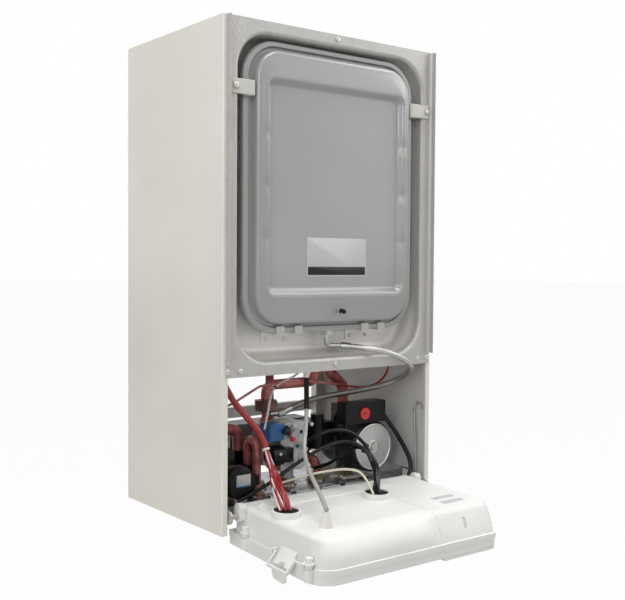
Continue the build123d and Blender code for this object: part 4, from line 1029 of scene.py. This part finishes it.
rearCuts = crossCuts(np.arange(0.150, 0.2, 0.0045), np.arange(-0.007, 0.032, 0.004),
                     np.r_[np.arange(-0.176, -0.140, 0.005), np.arange(0.020, 0.056, 0.006)])
terminalCuts = crossCuts(np.arange(0.120, 0.2, 0.008), np.arange(-0.008, 0.032, 0.005))
softened("control_rear_cover", 0.0006, cuts=rearCuts, move=rolledCover, flat=False)
softened("terminal_cover", 0.0006, cuts=terminalCuts, move=leaningCover)
lean = upAxis - 0.38 * forwardAxis
plate("slotInset", boxPoint(0.114, 0.1895, 0.0095), (0.016, 0.026), 0.002, 0.0006, "white",
      ((1, 0, 0), lean / np.linalg.norm(lean)), "control_box")
coverScrew = screwHead(boxPoint(-0.157, 0.020, 0.0358), 0.0052, 0.0018, normal=upAxis)
mounted(gridMesh("coverScrew", coverScrew, ["white"]), "control_box")

# the actuator's bare plate with its blue line, and bare grey bars on the terminal cover
plate("actuatorLabel", (-0.1454, -0.2621, 0.0672), (0.027, 0.0195), 0.0012, 0.0003, "label")
plate("actuatorLine", (-0.1454, -0.2623, 0.0586), (0.0262, 0.0018), 0.0004, 0.00025, "labelBlue")
bars = {"rearBar": (0.1282, 0.1274, 0.0115), "frontBar": (0.1256, 0.1513, 0.0125)}
for name, (x, u, tall) in bars.items():
    plate(name, boxPoint(x, u, 0.0329), (0.046, tall), 0.0008, 0.0004, "barGrey",
          ((1, 0, 0), -forwardAxis), "control_box")
print("labels done")


# floor, backdrop and lamps

room = {"floor": -0.34, "half": 40.0, "pale": 0.6, "glow": 0.96, "sky": 0.2}
white = (1.0, 1.0, 1.0, 1.0)
# each lamp's place, the point it faces, its size and its power
lamps = {
    "keyBox": ((-2.4, -2.2, 1.9), (0.0, -0.15, 0.4), (1.8, 1.8), 31.0),
    "fillBox": ((1.8, -2.6, 1.0), (0.0, -0.2, 0.35), (1.6, 1.6), 5.0),
    "topBox": ((0.0, -0.6, 10.0), (0.0, -0.3, 0.3), (5.5, 5.5), 690.0),
    "leftBox": ((-2.8, -0.4, 1.2), (0.0, -0.1, 0.4), (1.6, 1.6), 10.0),
    "rightBox": ((2.2, -1.4, 1.6), (0.0, -0.3, 0.4), (1.4, 1.4), 16.0),
    "crestBox": ((1.25, -0.75, 2.0), (0.0, -0.3, 0.45), (0.9, 0.4), 5.0),
    "edgeStrip": ((-2.3, -1.7, 0.7), (0.0, -0.3, 0.5), (0.22, 1.5), 3.0),
}


def addFloor():
    # a pale floor that takes light, and that the camera sees as almost white
    half, z = room["half"], room["floor"]
    mesh = bpy.data.meshes.new("floor")
    corners = [(-half, -half, z), (half, -half, z), (half, half, z), (-half, half, z)]
    mesh.from_pydata(corners, [], [(0, 1, 2, 3)])
    finish = Finish("floorWhite", (*[room["pale"]] * 3, 1.0), rough=0.9)
    seen = finish.node("ShaderNodeLightPath", {}, out="Is Camera Ray")
    glow = finish.node("ShaderNodeEmission", {}, white, 1.0)
    surface = Wire(finish, finish.shader.outputs[0])
    both = finish.node("ShaderNodeMixShader", {}, seen * room["glow"], surface, glow)
    finish.tree.links.new(both.socket, finish.tree.nodes["Material Output"].inputs["Surface"])
    mesh.materials.append(finish.material)
    linked("floor", mesh)


def addSky():
    # a dim white sky for the light, and a full white one for the camera, for glosses and through windows
    world = bpy.data.worlds.new("studio")
    bpy.context.scene.world = world
    world.use_nodes = True
    sky = NodeTree(world.node_tree)
    base = sky.tree.nodes["Background"]
    base.inputs["Color"].default_value = white
    base.inputs["Strength"].default_value = room["sky"]
    full = sky.node("ShaderNodeBackground", {}, white, 1.0)
    rays = sky.node("ShaderNodeLightPath", {}).socket.node.outputs
    kinds = ("Camera", "Glossy", "Transmission")
    camera, glossy, through = (Wire(sky, rays[f"Is {kind} Ray"]) for kind in kinds)
    seen = camera.larger(glossy).larger(through)
    both = sky.node("ShaderNodeMixShader", {}, seen, Wire(sky, base.outputs[0]), full)
    sky.tree.links.new(both.socket, sky.tree.nodes["World Output"].inputs["Surface"])


def addLamp(name, place, target, size, power):
    lamp = bpy.data.lights.new(name, "AREA")
    lamp.shape = "RECTANGLE"
    lamp.size, lamp.size_y = size
    lamp.energy = power
    piece = bpy.data.objects.new(name, lamp)
    bpy.context.scene.collection.objects.link(piece)
    piece.location = place
    piece.rotation_euler = (Vector(target) - Vector(place)).to_track_quat("-Z", "Y").to_euler()


addCamera()
addFloor()
addSky()
for name, settings in lamps.items():
    addLamp(name, *settings)
bpy.context.scene.view_settings.view_transform = "Standard"
